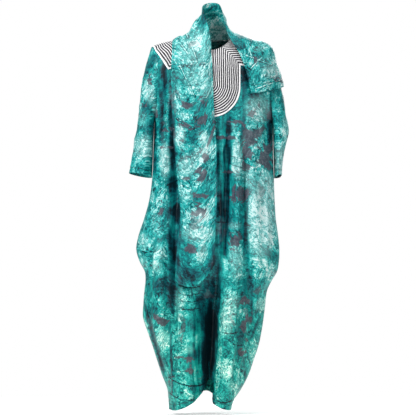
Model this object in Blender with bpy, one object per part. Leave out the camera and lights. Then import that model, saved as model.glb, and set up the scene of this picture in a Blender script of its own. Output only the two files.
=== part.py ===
"""Boubou maxi dress of hand-dyed cloth, worn and filled out, with a corded yoke and its own stole.

Tables are in millimetres and the meshes in metres. +X is the viewer's right, -Y the front and +Z up.
The origin is the middle of the neck, level with the top of the shoulder seams, where a wearer holds it.
"""

import math
from collections import namedtuple

import bmesh
import bpy
import numpy as np
from mathutils.bvhtree import BVHTree

MM = 0.001
FRONT = -1
BACK = 1

CLOTH = 1.6
SEAM_GAP = 0.3

# The shoulder: the cloth rolls over it from the seam on top down to the chest and the shoulder blades.
ROLL_END = -135.0
TIP_LEFT = -226.0
TIP_RIGHT = 226.0
SLOPE_START = 60.0
SHOULDER_DROP = 28.0
SHOULDER_BEND = 2.6
ARMHOLE_DEPTH = 62.0
UNDERARM = -310.0
HEM_ZONE_TOP = -1080.0

NECK_HALF = 75.0
NECK_FRONT_RUN = 102.0
NECK_BACK_RUN = 28.0
NECK_EDGE_TUCK = 4.0

# The body's outline at each height: its two sides from the front, and its depth to front and back.
Section = namedtuple("Section", "height left right front back")
SECTIONS = (
    Section(-135, -200, 212, 118, 104),
    Section(-220, -204, 224, 126, 108),
    Section(-310, -214, 234, 130, 112),
    Section(-420, -219, 236, 128, 116),
    Section(-517, -223, 239, 126, 122),
    Section(-608, -235, 242, 128, 130),
    Section(-684, -256, 247, 132, 136),
    Section(-741, -275, 255, 134, 140),
    Section(-798, -284, 260, 136, 142),
    Section(-844, -270, 258, 136, 143),
    Section(-882, -251, 250, 136, 144),
    Section(-912, -249, 232, 136, 144),
    Section(-950, -253, 214, 135, 144),
    Section(-1000, -257, 207, 134, 143),
    Section(-1056, -258, 200, 132, 141),
    Section(-1102, -243, 193, 130, 138),
    Section(-1159, -223, 181, 127, 134),
    Section(-1216, -205, 162, 122, 129),
    Section(-1273, -186, 142, 117, 124),
    Section(-1330, -165, 112, 111, 118),
    Section(-1368, -162, 86, 107, 114),
    Section(-1410, -160, 68, 103, 110),
)

# Rows of each panel between the underarm and the hem's zone: closest where the wings stand out.
Band = namedtuple("Band", "foot front_rows back_rows")
BANDS = (Band(-660, 5, 4), Band(-960, 8, 5), Band(HEM_ZONE_TOP, 2, 1))

# Folds that hang in the body: where each one starts, its path across the cloth, how wide it is on
# either side of its line, and how far it stands out (plus) or sinks in (minus).
Fold = namedtuple("Fold", "name side top foot top_x middle_x foot_x left right lift")
FOLDS = (
    Fold("sleeve_valley", FRONT, -140, -430, -192, -184, -186, 14, 12, -24),
    Fold("sleeve_ridge", FRONT, -170, -580, -160, -166, -168, 14, 12, 12),
    Fold("stole_valley", FRONT, -240, -1250, -144, -142, -150, 22, 16, -34),
    Fold("left_lobe", FRONT, -680, -1260, -196, -200, -182, 30, 26, 16),
    Fold("wing_crease", FRONT, -690, -1060, -224, -222, -230, 11, 11, -14),
    Fold("tuck", FRONT, -1050, -1310, -248, -206, -160, 11, 13, -12),
    Fold("front_column", FRONT, -860, -1600, -92, -94, -100, 48, 42, 22),
    Fold("leg_recess", FRONT, -800, -1700, 34, 10, 2, 58, 12, -88),
    Fold("middle_valley", FRONT, -250, -920, 62, 60, 48, 15, 13, -28),
    Fold("middle_ridge", FRONT, -290, -900, 36, 38, 34, 10, 9, 6),
    Fold("bib_ridge", FRONT, -270, -1020, 95, 96, 84, 20, 22, 16),
    Fold("right_lobe", FRONT, -860, -1700, 74, 54, 42, 34, 40, 34),
    Fold("right_crease", FRONT, -320, -1150, 124, 135, 164, 17, 11, -18),
    Fold("right_panel", FRONT, -320, -1020, 152, 166, 190, 14, 40, 9),
    Fold("flap_valley", FRONT, -165, -440, 208, 216, 222, 10, 10, -16),
    Fold("back_outer_valley", BACK, -230, -1180, -168, -172, -150, 20, 22, -22),
    Fold("back_outer_ridge", BACK, -250, -1300, -120, -118, -112, 28, 24, 12),
    Fold("back_valley", BACK, -210, -1700, -54, -50, -72, 22, 22, -26),
    Fold("back_ridge", BACK, -240, -1700, -4, 0, -20, 30, 30, 14),
    Fold("back_inner_valley", BACK, -200, -1700, 58, 62, 28, 22, 22, -26),
    Fold("back_inner_ridge", BACK, -240, -1400, 112, 118, 78, 28, 26, 12),
    Fold("back_far_valley", BACK, -230, -1180, 170, 180, 140, 18, 20, -20),
    Fold("back_wing_crease", BACK, -690, -1060, -222, -224, -224, 12, 12, -12),
)

# The hem rises over the feet between two lobes. Across runs from -1 at one side to 1 at the other.
HemPoint = namedtuple("HemPoint", "across height")
FRONT_HEM = (
    HemPoint(-1.0, -1402),
    HemPoint(-0.8, -1405),
    HemPoint(-0.56, -1400),
    HemPoint(-0.34, -1386),
    HemPoint(-0.14, -1363),
    HemPoint(0.02, -1320),
    HemPoint(0.14, -1289),
    HemPoint(0.21, -1284),
    HemPoint(0.29, -1318),
    HemPoint(0.42, -1366),
    HemPoint(0.56, -1392),
    HemPoint(0.78, -1404),
    HemPoint(1.0, -1399),
)
BACK_HEM = (
    HemPoint(-1.0, -1402),
    HemPoint(-0.65, -1396),
    HemPoint(-0.25, -1352),
    HemPoint(0.05, -1336),
    HemPoint(0.35, -1354),
    HemPoint(0.7, -1394),
    HemPoint(1.0, -1399),
)

# Rings down each sleeve: the ends of its section in the front view, and half its depth.
Ring = namedtuple("Ring", "outer_x outer_z inner_x inner_z depth")
RIGHT_SLEEVE = (
    Ring(-226, -28, -214, -310, 62),
    Ring(-240, -62, -217, -322, 62),
    Ring(-252, -104, -219, -336, 62),
    Ring(-262, -155, -220, -352, 61),
    Ring(-270, -212, -221, -370, 59),
    Ring(-278, -272, -222, -392, 57),
    Ring(-285, -335, -222.5, -418, 54),
    Ring(-294, -392, -224, -446, 51),
    Ring(-304, -448, -225.5, -480, 48),
    Ring(-315, -499, -227, -517, 46),
)
LEFT_SLEEVE = (
    Ring(226, -28, 234, -310, 62),
    Ring(230, -62, 237, -322, 62),
    Ring(240, -102, 238, -336, 62),
    Ring(256, -150, 238.5, -352, 61),
    Ring(271, -204, 239, -370, 60),
    Ring(284, -266, 239, -392, 59),
    Ring(296, -330, 239.5, -418, 58),
    Ring(288, -385, 240, -446, 60),
    Ring(277, -448, 241.5, -480, 60),
    Ring(270, -508, 243, -517, 60),
)
# How far each ring has left the armhole's curve for its own oval.
ARMHOLE_BLEND = (0.0, 0.35, 0.7, 0.92, 1.0)
CUFF_BACK_DROP = 11.0
SLEEVE_FOLD = 5.0

# The yoke: rows of cord laid edge to edge, following its outer edge. Along is the distance from the
# middle line and run the distance down the cloth from the shoulder seam.
CORD_PITCH = 7.86
YOKE_STANDOFF = 0.6
YOKE_BASE = 1.5
CORD_RISE = 1.4
SHOULDER_STRAIGHT_ROWS = 30
NECK_SHARE = 0.35
BIB_HALF = 110.0
BIB_ROWS = 28
BIB_CENTRE_RUN = 237.0
# The bib's foot is this much deeper than a half circle.
BIB_FOOT_STRETCH = 1.11
SHOULDER_ROWS = 37
KEPT_ROW_STEP = 3
LEG_STEPS = 4
ARC_STEPS = 10
# Rays across the yoke's rows: where each starts on the outer edge, and its step for each millimetre in.
Ray = namedtuple("Ray", "along run along_step run_step")
TIP_RAY = Ray(222, 0, -1.0, 0.0)
EDGE_RAY = Ray(212, 56, -1.0, -0.316)
CORNER_RAY = Ray(161, 148, -0.56, -1.0)
MITRE_RAY = Ray(110, 157, -1.0, -1.0)
YOKE_BACK_RUN = 96.0
YOKE_BACK_WALL = 2.4
YOKE_BACK_ROWS = 5
YOKE_BACK_COLUMNS = 21

# The stole's sections from the end of its long fall, round the neck, to the end on the shoulder:
# its inner edge next to the neck, its middle and its outer edge.
Station = namedtuple("Station", "ix iy iz mx my mz ox oy oz")
STOLE = (
    Station(13, -148, -930, -62, -160, -930, -138, -150, -930),
    Station(14, -148, -798, -57, -158, -798, -130, -148, -798),
    Station(20, -148, -665, -48, -156, -665, -116, -146, -665),
    Station(23, -146, -532, -52, -154, -532, -127, -142, -532),
    Station(19, -146, -400, -62, -154, -400, -140, -134, -400),
    Station(13, -144, -280, -68, -152, -280, -147, -128, -280),
    Station(8, -136, -160, -70, -142, -160, -150, -114, -162),
    Station(5, -124, -80, -66, -124, -76, -149, -98, -84),
    Station(1, -108, -36, -62, -98, -24, -146, -58, -26),
    Station(-6, -84, 8, -68, -66, 20, -142, -6, 1),
    Station(-14, -62, 56, -78, -38, 36, -138, 34, -8),
    Station(-24, -36, 98, -72, -4, 50, -120, 66, -26),
    Station(-29, 4, 124, -62, 32, 52, -90, 96, -38),
    Station(-18, 40, 139, -34, 68, 50, -46, 116, -50),
    Station(6, 58, 144, 6, 84, 46, 8, 124, -56),
    Station(34, 46, 138, 48, 72, 44, 66, 118, -56),
    Station(48, 12, 110, 72, 52, 34, 118, 104, -56),
    Station(54, -24, 66, 92, 24, 22, 166, 84, -62),
    Station(64, -56, 22, 122, -4, 12, 208, 62, -74),
    Station(82, -84, -14, 160, -30, -8, 240, 44, -96),
    Station(104, -100, -48, 196, -48, -40, 262, 34, -124),
    Station(126, -112, -100, 222, -66, -88, 274, 28, -148),
    Station(140, -118, -150, 230, -82, -136, 278, 24, -162),
    Station(152, -120, -205, 228, -92, -192, 276, 20, -176),
)
# How far the long fall's end lies above its lowest point, from the inner edge to the outer.
FallHem = namedtuple("FallHem", "across lift")
FALL_HEM = (
    FallHem(0.0, 78),
    FallHem(0.2, 34),
    FallHem(0.4, 4),
    FallHem(0.65, -6),
    FallHem(1.0, 14),
)
STOLE_ROWS = 47
STOLE_COLUMNS = 11
FALL_END_ROW = 18
NECK_END_ROW = 34
STOLE_CLEARANCE = 2.5
SETTLE_ROUNDS = 4
SETTLE_STEPS = 8
SETTLE_REACH = 80.0
STOLE_RIPPLE = 5.0

TEAL = (0.055, 0.42, 0.38, 1.0)
TEAL_STOLE = (0.16, 0.55, 0.50, 1.0)
CORD_GREY = (0.42, 0.40, 0.42, 1.0)


def column(table, name):
    """One named column of a table as an array."""
    return np.array([getattr(row, name) for row in table], float)


def curve(keys, values, at):
    """A smooth cubic curve through (key, value) pairs, read at many places."""
    order = np.argsort(keys)
    keys, values = keys[order], values[order]
    slopes = np.gradient(values, keys)
    at = np.clip(np.asarray(at, float), keys[0], keys[-1])
    low = np.clip(np.searchsorted(keys, at) - 1, 0, len(keys) - 2)
    span = keys[low + 1] - keys[low]
    t = (at - keys[low]) / span
    return (
        values[low] * (2 * t**3 - 3 * t**2 + 1)
        + slopes[low] * span * (t**3 - 2 * t**2 + t)
        + values[low + 1] * (3 * t**2 - 2 * t**3)
        + slopes[low + 1] * span * (t**3 - t**2)
    )


def section_at(height, name):
    return curve(column(SECTIONS, "height"), column(SECTIONS, name), height)


def soft_step(t):
    t = np.clip(t, 0.0, 1.0)
    return t * t * (3.0 - 2.0 * t)


def shoulder_line(x):
    """Height of the shoulder seam: level by the neck, then sloping to the tips."""
    t = np.clip((np.abs(x) - SLOPE_START) / (TIP_RIGHT - SLOPE_START), 0.0, 1.3)
    return -SHOULDER_DROP * t**SHOULDER_BEND


def armhole_depth(height):
    """Half-depth of the armhole: an ellipse that closes at the underarm."""
    t = np.clip((ROLL_END - height) / (ROLL_END - UNDERARM), 0.0, 1.0)
    return ARMHOLE_DEPTH * np.sqrt(1.0 - t * t)


def section_depth(across, height, edge, deep):
    """Depth of the section across it: a low arch held open by the armhole at the chest, and a full
    oval that closes at the side seams below the arms."""
    low = soft_step((ROLL_END - height) / (ROLL_END - UNDERARM))
    power = 3.0 - 0.7 * low
    root = 1.0 / (1.3 + 0.9 * low)
    arch = deep * np.maximum(1.0 - np.abs(across) ** power, 0.0) ** root
    return np.hypot(arch, edge * across**2)


def fold_lift(x, height, side):
    """Sum of the folds at a point: each is a bell across its line that fades in and out along it."""
    total = np.zeros(np.broadcast(x, height).shape)
    for fold in FOLDS:
        if fold.side != side:
            continue
        length = fold.top - fold.foot
        t = np.clip((fold.top - height) / length, 0.0, 1.0)
        line = (
            fold.top_x * (1 - t) * (1 - 2 * t)
            + fold.middle_x * 4 * t * (1 - t)
            + fold.foot_x * t * (2 * t - 1)
        )
        away = x - line
        width = np.where(away < 0, fold.left, fold.right)
        fade = soft_step((fold.top - height) / (0.3 * length))
        fade = fade * soft_step((height - fold.foot) / (0.25 * length))
        total = total + fold.lift * fade * np.exp(-((away / width) ** 2))
    return total


def torso(across, turn, height, side):
    """Point of the dress body. Across runs from -1 to 1 between its sides, turn is the angle rolled over
    the shoulder from the seam on top, and height counts once the roll has ended."""
    across, turn, height = np.broadcast_arrays(across, turn, height)
    below = turn >= math.pi / 2 - 1e-9
    level = np.where(below, height, ROLL_END)
    out = np.where(below, 1.0, np.sin(turn))
    left = TIP_LEFT + (section_at(level, "left") - TIP_LEFT) * out
    right = TIP_RIGHT + (section_at(level, "right") - TIP_RIGHT) * out
    depth = section_at(level, "front" if side == FRONT else "back")
    middle, half = (left + right) / 2, (right - left) / 2
    x = middle + half * across
    y = section_depth(across, level, armhole_depth(level), depth) * out
    ridge = shoulder_line(x)
    z = np.where(below, height, ridge + (ROLL_END - ridge) * (1 - np.cos(turn)))
    lift = np.where(below, fold_lift(x, height, side), 0.0) * (1 - np.abs(across) ** 10)
    lean = np.arcsin(np.clip(across, -1, 1))
    nx, ny = np.sin(lean) * depth, np.cos(lean) * half
    size = np.hypot(nx, ny)
    return np.stack([x + lift * nx / size, side * (y + lift * ny / size), z], axis=-1)


def even_columns(height, side, count):
    """Places across the body that space a section's columns by its length and its bends together."""
    fine = np.sin(np.linspace(-math.pi / 2, math.pi / 2, 481))
    steps = np.diff(torso(fine, math.pi / 2, height, side), axis=0)
    lengths = np.linalg.norm(steps, axis=1)
    unit = steps / np.maximum(lengths, 1e-6)[:, None]
    bends = np.arccos(np.clip((unit[1:] * unit[:-1]).sum(axis=1), -1, 1))
    weight = lengths + 9.0 * np.concatenate([[0.0], bends])
    along = np.concatenate([[0.0], np.cumsum(weight)])
    return np.interp(np.linspace(0, along[-1], count), along, fine)


def body_grid(side, columns, roll_rows, arm_rows, hem_rows):
    """Outer points of the front or back, from the shoulder seam and neckline down to the hem."""
    neck_run = NECK_FRONT_RUN if side == FRONT else NECK_BACK_RUN
    chest = even_columns(ROLL_END - 1.0, side, columns)
    rows = []
    for step in range(roll_rows):
        x = torso(chest, 0.0, 0.0, side)[:, 0]
        inside = np.clip(1 - (x / (NECK_HALF + NECK_EDGE_TUCK)) ** 2, 0, 1)
        start = math.pi / 2 * (neck_run + NECK_EDGE_TUCK) / 199.0 * np.sqrt(inside)
        turn = start + (math.pi / 2 - start) * step / roll_rows
        rows.append(torso(chest, turn, 0.0, side))
    arm_turns = np.linspace(0, math.pi / 2, arm_rows + 1)
    heights = list(ROLL_END + (UNDERARM - ROLL_END) * np.sin(arm_turns))
    for band in BANDS:
        steps = band.front_rows if side == FRONT else band.back_rows
        heights += list(np.linspace(heights[-1], band.foot, steps + 1)[1:])
    spread = [even_columns(h, side, columns) for h in heights]
    hem_table = FRONT_HEM if side == FRONT else BACK_HEM
    hem_keys, hem_heights = column(hem_table, "across"), column(hem_table, "height")
    hem_spread = even_columns(-1300.0, side, columns)
    for step in range(1, hem_rows + 1):
        t = step / hem_rows
        across = spread[len(heights) - 1] * (1 - t) + hem_spread * t
        spread.append(across)
    smooth = [spread[0]]
    for before, here, after in zip(spread, spread[1:], spread[2:]):
        smooth.append((before + 2 * here + after) / 4)
    smooth.append(spread[-1])
    for row, height in enumerate(heights):
        rows.append(torso(smooth[row], math.pi / 2, height, side))
    for step in range(1, hem_rows + 1):
        across = smooth[len(heights) + step - 1]
        foot = curve(hem_keys, hem_heights, across)
        height = HEM_ZONE_TOP + (foot - HEM_ZONE_TOP) * step / hem_rows
        rows.append(torso(across, math.pi / 2, height, side))
    return np.array(rows)


def grid_normals(points, closed=False):
    """Unit normals of a grid of points, from the lines to its neighbours."""
    if closed:
        across = np.roll(points, -1, axis=1) - np.roll(points, 1, axis=1)
    else:
        across = np.gradient(points, axis=1)
    down = np.gradient(points, axis=0)
    normals = np.cross(across, down)
    return normals / np.maximum(np.linalg.norm(normals, axis=2), 1e-9)[:, :, None]


def flatten_axis(normals, axis):
    """Turns normals square to an axis, so that the wall's edge there is a flat seam."""
    normals[..., axis] = 0.0
    normals /= np.maximum(np.linalg.norm(normals, axis=-1), 1e-9)[..., None]


def make_object(name, vertices, faces, colour, roughness):
    mesh = bpy.data.meshes.new(name)
    mesh.from_pydata((np.asarray(vertices) * MM).tolist(), [], faces)
    shape = bmesh.new()
    shape.from_mesh(mesh)
    bmesh.ops.remove_doubles(shape, verts=shape.verts, dist=0.02 * MM)
    bmesh.ops.triangulate(shape, faces=shape.faces)
    bmesh.ops.recalc_face_normals(shape, faces=shape.faces)
    shape.to_mesh(mesh)
    shape.free()
    mesh.shade_smooth()
    material = bpy.data.materials.new(name)
    material.use_nodes = True
    surface = material.node_tree.nodes["Principled BSDF"]
    surface.inputs["Base Color"].default_value = colour
    surface.inputs["Roughness"].default_value = roughness
    mesh.materials.append(material)
    thing = bpy.data.objects.new(name, mesh)
    bpy.context.scene.collection.objects.link(thing)
    return thing


def diagonals(points, closed=False):
    """For each cell of a grid, whether the line from its first corner to its third is the shorter one."""
    right = np.roll(points, -1, axis=1) if closed else points[:, 1:]
    here = points if closed else points[:, :-1]
    falling = np.linalg.norm(right[1:] - here[:-1], axis=2)
    rising = np.linalg.norm(here[1:] - right[:-1], axis=2)
    return falling <= rising


def grid_faces(first, shorter, closed):
    """Triangles of a grid of vertices numbered from first, split on the shorter diagonals."""
    columns = shorter.shape[1] + (0 if closed else 1)
    faces = []
    for r, c in np.ndindex(shorter.shape):
        d = (c + 1) % columns
        top, bottom = first + r * columns, first + (r + 1) * columns
        if shorter[r, c]:
            faces += [(top + c, top + d, bottom + d), (top + c, bottom + d, bottom + c)]
        else:
            faces += [(top + c, top + d, bottom + c), (top + d, bottom + d, bottom + c)]
    return faces


def make_wall(name, outer, inner, kept, colour, roughness, closed=False, open_last_row=False):
    """A closed wall between an outer grid and an inner one that has only the kept rows of it."""
    rows, columns = outer.shape[:2]
    same = len(kept) == rows
    start = rows * columns
    shorter = diagonals(outer, closed)
    faces = grid_faces(0, shorter, closed)
    below = grid_faces(start, shorter if same else diagonals(inner, closed), closed)
    faces += [face[::-1] for face in below]
    ends = [(0, 0)] if open_last_row else [(0, 0), (rows - 1, len(kept) - 1)]
    for r, k in ends:
        for c in range(columns if closed else columns - 1):
            d = (c + 1) % columns
            low = start + k * columns
            faces.append((r * columns + c, r * columns + d, low + d, low + c))
    for c in () if closed else (0, columns - 1):
        for k in range(len(kept) - 1):
            outside = [r * columns + c for r in range(kept[k], kept[k + 1] + 1)]
            faces.append((*outside, start + (k + 1) * columns + c, start + k * columns + c))
    vertices = np.concatenate([outer.reshape(-1, 3), inner.reshape(-1, 3)])
    return make_object(name, vertices, faces, colour, roughness)


def cloth_wall(name, outer, normals, colour, closed=False):
    """A cloth wall: its outer grid and the same grid one cloth thickness inside."""
    inner = outer - normals * CLOTH
    return make_wall(name, outer, inner, list(range(len(outer))), colour, 0.4, closed)


def make_body(name, side, columns, *row_counts):
    """Front or back of the dress, parted from the other by half a seam gap each."""
    outer = body_grid(side, columns, *row_counts)
    normals = grid_normals(outer) * side
    under = row_counts[0] + row_counts[1]
    seam = np.abs(outer[0, :, 0]) > NECK_HALF + NECK_EDGE_TUCK
    for edge in (normals[under:, 0], normals[under:, -1]):
        flatten_axis(edge, 1)
    level = normals[0]
    level[seam, 1] = 0.0
    level[seam] /= np.linalg.norm(level[seam], axis=1)[:, None]
    outer[..., 1] += side * SEAM_GAP / 2
    return cloth_wall(name, outer, normals, TEAL)


def armhole_ring(side_x, angles):
    """The armhole's edge: down the front of the body, under the arm and up the back."""
    ring = []
    for angle in angles:
        side = FRONT if angle <= math.pi else BACK
        rolled = angle if side == FRONT else 2 * math.pi - angle
        turn = min(rolled, math.pi / 2)
        swing = max(rolled - math.pi / 2, 0.0)
        height = ROLL_END + (UNDERARM - ROLL_END) * math.sin(swing)
        ring.append(torso(side_x, turn, height, side))
    return np.array(ring)


def make_sleeve(name, table, side_x, roll_rows, arm_rows):
    """A sleeve tube: rings that start as the armhole and turn into the cuff."""
    top = np.linspace(0, math.pi / 2, roll_rows + 1)
    bottom = math.pi / 2 + np.linspace(0, math.pi / 2, arm_rows + 1)[1:]
    half = np.concatenate([top, bottom])
    angles = np.concatenate([half, 2 * math.pi - half[-2:0:-1]])
    armhole = armhole_ring(side_x, angles)
    rings = []
    for number, ring in enumerate(table):
        centre = np.array([ring.outer_x + ring.inner_x, 0, ring.outer_z + ring.inner_z]) / 2
        reach = np.array([ring.outer_x - ring.inner_x, 0, ring.outer_z - ring.inner_z]) / 2
        places = centre + np.cos(angles)[:, None] * reach
        t = number / (len(table) - 1)
        fold = SLEEVE_FOLD * soft_step((t - 0.15) / 0.4) * np.sin(3 * angles + 2.4 * t)
        places[:, 1] -= np.sin(angles) * (ring.depth + fold)
        places[:, 2] -= CUFF_BACK_DROP * soft_step((t - 0.6) / 0.4) * (1 - np.sin(angles)) / 2
        blend = ARMHOLE_BLEND[min(number, len(ARMHOLE_BLEND) - 1)]
        rings.append(armhole * (1 - blend) + places * blend)
    outer = np.array(rings)
    outer[0, :, 0] += side_x * SEAM_GAP
    normals = grid_normals(outer, closed=True) * side_x
    flatten_axis(normals[0], 0)
    return cloth_wall(name, outer, normals, TEAL, closed=True)


def lay(along, run, side):
    """Point on the dress at a distance along from the middle and a run down from the shoulder seam."""
    along, run = np.broadcast_arrays(np.asarray(along, float), np.asarray(run, float))
    turn = np.full(along.shape, math.pi / 4)
    height = np.full(along.shape, ROLL_END)
    name = "front" if side == FRONT else "back"
    for _ in range(6):
        out = np.sin(turn)
        left = TIP_LEFT + (section_at(height, "left") - TIP_LEFT) * out
        right = TIP_RIGHT + (section_at(height, "right") - TIP_RIGHT) * out
        across = np.clip((along - (left + right) / 2) / ((right - left) / 2), -1, 1)
        level = np.full(along.shape, ROLL_END)
        deep = section_depth(across, level, ARMHOLE_DEPTH, section_at(level, name))
        fall = shoulder_line(along) - ROLL_END
        quarter = math.pi / 2 * np.sqrt((deep**2 + fall**2) / 2)
        turn = math.pi / 2 * np.clip(run / quarter, 0, 1)
        height = ROLL_END - np.maximum(run - quarter, 0)
    return torso(across, turn, height, side)


def lay_normals(along, run, side):
    """Outward normals of the dress under the yoke, from small steps along and down it."""
    step = 1.0
    east = lay(along + step, run, side) - lay(along - step, run, side)
    south = lay(along, run + step, side) - lay(along, np.maximum(run - step, 0), side)
    normals = np.cross(east, south) * side
    return normals / np.linalg.norm(normals, axis=-1)[..., None]


def neck_run_at(along):
    """Run of the front neckline at a distance from the middle line."""
    inside = np.clip(1 - (along / NECK_HALF) ** 2, 0, 1)
    return NECK_FRONT_RUN * np.sqrt(inside)


def ray_point(ray, inward):
    return np.array([ray.along + ray.along_step * inward, ray.run + ray.run_step * inward])


def mitre_end(inward):
    """Where a row of the shoulder yoke ends: just off the mitre with the bib, or on the neckline."""
    along, run = ray_point(MITRE_RAY, inward)
    if run > neck_run_at(along):
        return np.array([along + 1.4 * SEAM_GAP, run])
    return neck_point(run)


def neck_point(run):
    """Point of the front neckline at a run down from the shoulder seam."""
    return np.array([NECK_HALF * math.sqrt(1 - min(run / NECK_FRONT_RUN, 1.0) ** 2), run])


def shoulder_row(inward):
    """One row of cord on a shoulder: from the seam on top, round two corners, to its end."""
    tip, edge, corner = (ray_point(ray, inward) for ray in (TIP_RAY, EDGE_RAY, CORNER_RAY))
    end = mitre_end(inward)
    line = [tip * (1 - t) + edge * t for t in (0.0, 0.5)]
    line += [edge * (1 - t) + corner * t for t in (0.0, 0.33, 0.67)]
    return np.array(line + [corner * (1 - t) + end * t for t in (0.0, 0.25, 0.5, 0.75, 1.0)])


def shoulder_rows():
    """Rows of cord on one shoulder. The last ones draw in to the neckline."""
    rows = [shoulder_row(row * CORD_PITCH / 2) for row in range(SHOULDER_STRAIGHT_ROWS + 1)]
    last = rows[-1]
    neck = np.array([neck_point(run) for run in np.linspace(0, NECK_SHARE * last[-1, 1], len(last))])
    closing = SHOULDER_ROWS - SHOULDER_STRAIGHT_ROWS
    rows += [last + (neck - last) * step / closing for step in range(1, closing + 1)]
    return np.array(rows)


def bib_rows():
    """Rows of cord on the bib: down one side, round the bottom and up the other side."""
    rows = []
    for row in range(BIB_ROWS + 1):
        half = BIB_HALF * (1 - row / BIB_ROWS)
        inward = BIB_HALF - half
        start = max(MITRE_RAY.run - inward, neck_run_at(half))
        leg = [(half, start + (BIB_CENTRE_RUN - start) * t / LEG_STEPS) for t in range(LEG_STEPS)]
        turns = np.linspace(0, math.pi, ARC_STEPS + 1)
        deep = BIB_FOOT_STRETCH * half
        arc = [(half * math.cos(a), BIB_CENTRE_RUN + deep * math.sin(a)) for a in turns]
        rows.append([*leg, *arc, *[(-along, run) for along, run in reversed(leg)]])
    return np.array(rows)


def settle(points, outward, tree, clearance):
    """Lifts a sheet along its outward directions until samples all over it clear what lies below."""
    steps = SETTLE_STEPS
    shares = [(a, b, steps - a - b) for a in range(steps + 1) for b in range(steps + 1 - a)]
    shares = np.array(shares) / steps
    for _ in range(SETTLE_ROUNDS):
        short = np.zeros(len(points) * points.shape[1])
        flat, ways = points.reshape(-1, 3), outward.reshape(-1, 3)
        for face in grid_faces(0, diagonals(points), False):
            places, directions = shares @ flat[list(face)], shares @ ways[list(face)]
            directions /= np.linalg.norm(directions, axis=1)[:, None]
            for share, place, way in zip(shares, places, directions):
                start = place + way * SETTLE_REACH
                hit = tree.ray_cast(start.tolist(), (-way).tolist(), 2 * SETTLE_REACH)
                if hit[0] is None:
                    continue
                for corner, part in zip(face, share):
                    if part > 0:
                        short[corner] = max(short[corner], SETTLE_REACH + clearance - hit[3])
        points = points + outward * short.reshape(points.shape[:2])[..., None]
        if short.max() < 0.01:
            break
    return points


def corded_wall(name, flat, mirror, open_last_row, tree):
    """A yoke piece laid on the dress: its outer points ride up over each cord, its underside is plain."""
    along, run = flat[..., 0] * mirror, flat[..., 1]
    ground = lay(along, run, FRONT)
    normals = lay_normals(along, run, FRONT)
    flatten_axis(normals[run < 0.01], 1)
    ground[..., 1] -= SEAM_GAP / 2
    rows = len(flat)
    kept = sorted({*range(0, rows, KEPT_ROW_STEP), rows - 1})
    inner = settle(ground[kept], normals[kept], tree, YOKE_STANDOFF)
    lift = ((inner - ground[kept]) * normals[kept]).sum(axis=2)
    if open_last_row:
        lift[-1] = lift[-1].max()
    inner = ground[kept] + normals[kept] * lift[..., None]
    lift = np.array([np.interp(np.arange(rows), kept, line) for line in lift.T]).T
    rise = np.where(np.arange(rows) % 2 == 1, CORD_RISE, 0.0)
    outer = ground + normals * (lift + YOKE_BASE + rise[:, None])[..., None]
    return make_wall(name, outer, inner, kept, CORD_GREY, 0.5, False, open_last_row)


def make_yoke(tree):
    """Bib, two shoulder pieces and a plain piece round the back of the neck."""
    corded_wall("yoke_bib", bib_rows(), 1, True, tree)
    corded_wall("yoke_right_shoulder", shoulder_rows(), -1, False, tree)
    corded_wall("yoke_left_shoulder", shoulder_rows(), 1, False, tree)
    turns = np.linspace(0, math.pi, YOKE_BACK_COLUMNS)
    inward = np.linspace(0, 1, YOKE_BACK_ROWS)[:, None]
    along = (TIP_RAY.along + (NECK_HALF - TIP_RAY.along) * inward) * np.cos(turns)
    run = (YOKE_BACK_RUN + (NECK_BACK_RUN - YOKE_BACK_RUN) * inward) * np.sin(turns)
    ground = lay(along, run, BACK)
    ground[..., 1] += SEAM_GAP / 2
    normals = lay_normals(along, run, BACK)
    flatten_axis(normals[:, 0], 1)
    flatten_axis(normals[:, -1], 1)
    inner = settle(ground, normals, tree, YOKE_STANDOFF)
    outer = inner + normals * YOKE_BACK_WALL
    make_wall("yoke_back", outer, inner, list(range(YOKE_BACK_ROWS)), CORD_GREY, 0.5)


def stole_sheet():
    """Points of the whole stole: a smooth surface through the three points of each station."""
    keys = np.arange(len(STOLE), dtype=float)
    at = np.linspace(0, len(STOLE) - 1, STOLE_ROWS)
    track = {name: curve(keys, column(STOLE, name), at) for name in Station._fields}
    inner = np.stack([track["ix"], track["iy"], track["iz"]], axis=1)[:, None]
    middle = np.stack([track["mx"], track["my"], track["mz"]], axis=1)[:, None]
    outer = np.stack([track["ox"], track["oy"], track["oz"]], axis=1)[:, None]
    t = np.linspace(0, 1, STOLE_COLUMNS)[None, :, None]
    points = inner * (1 - t) * (1 - 2 * t) + middle * 4 * t * (1 - t) + outer * t * (2 * t - 1)
    lift = curve(column(FALL_HEM, "across"), column(FALL_HEM, "lift"), t[0, :, 0])
    points[..., 2] += np.maximum(1 - at[:, None] / 1.4, 0) ** 1.5 * lift[None, :]
    wave = np.sin(2 * math.pi * (2.6 * t[..., 0] + 0.11 * at[:, None]))
    gathered = 0.35 + 0.65 * np.exp(-(((at[:, None] - 12) / 4.5) ** 2))
    return points - grid_normals(points) * (STOLE_RIPPLE * gathered * wave)[..., None]


def surface_tree(things):
    """One search tree over the outsides of several pieces, in millimetres."""
    vertices, faces = [], []
    for thing in things:
        start = len(vertices)
        vertices += [vertex.co / MM for vertex in thing.data.vertices]
        faces += [[start + index for index in face.vertices] for face in thing.data.polygons]
    return BVHTree.FromPolygons(vertices, faces)


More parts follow.
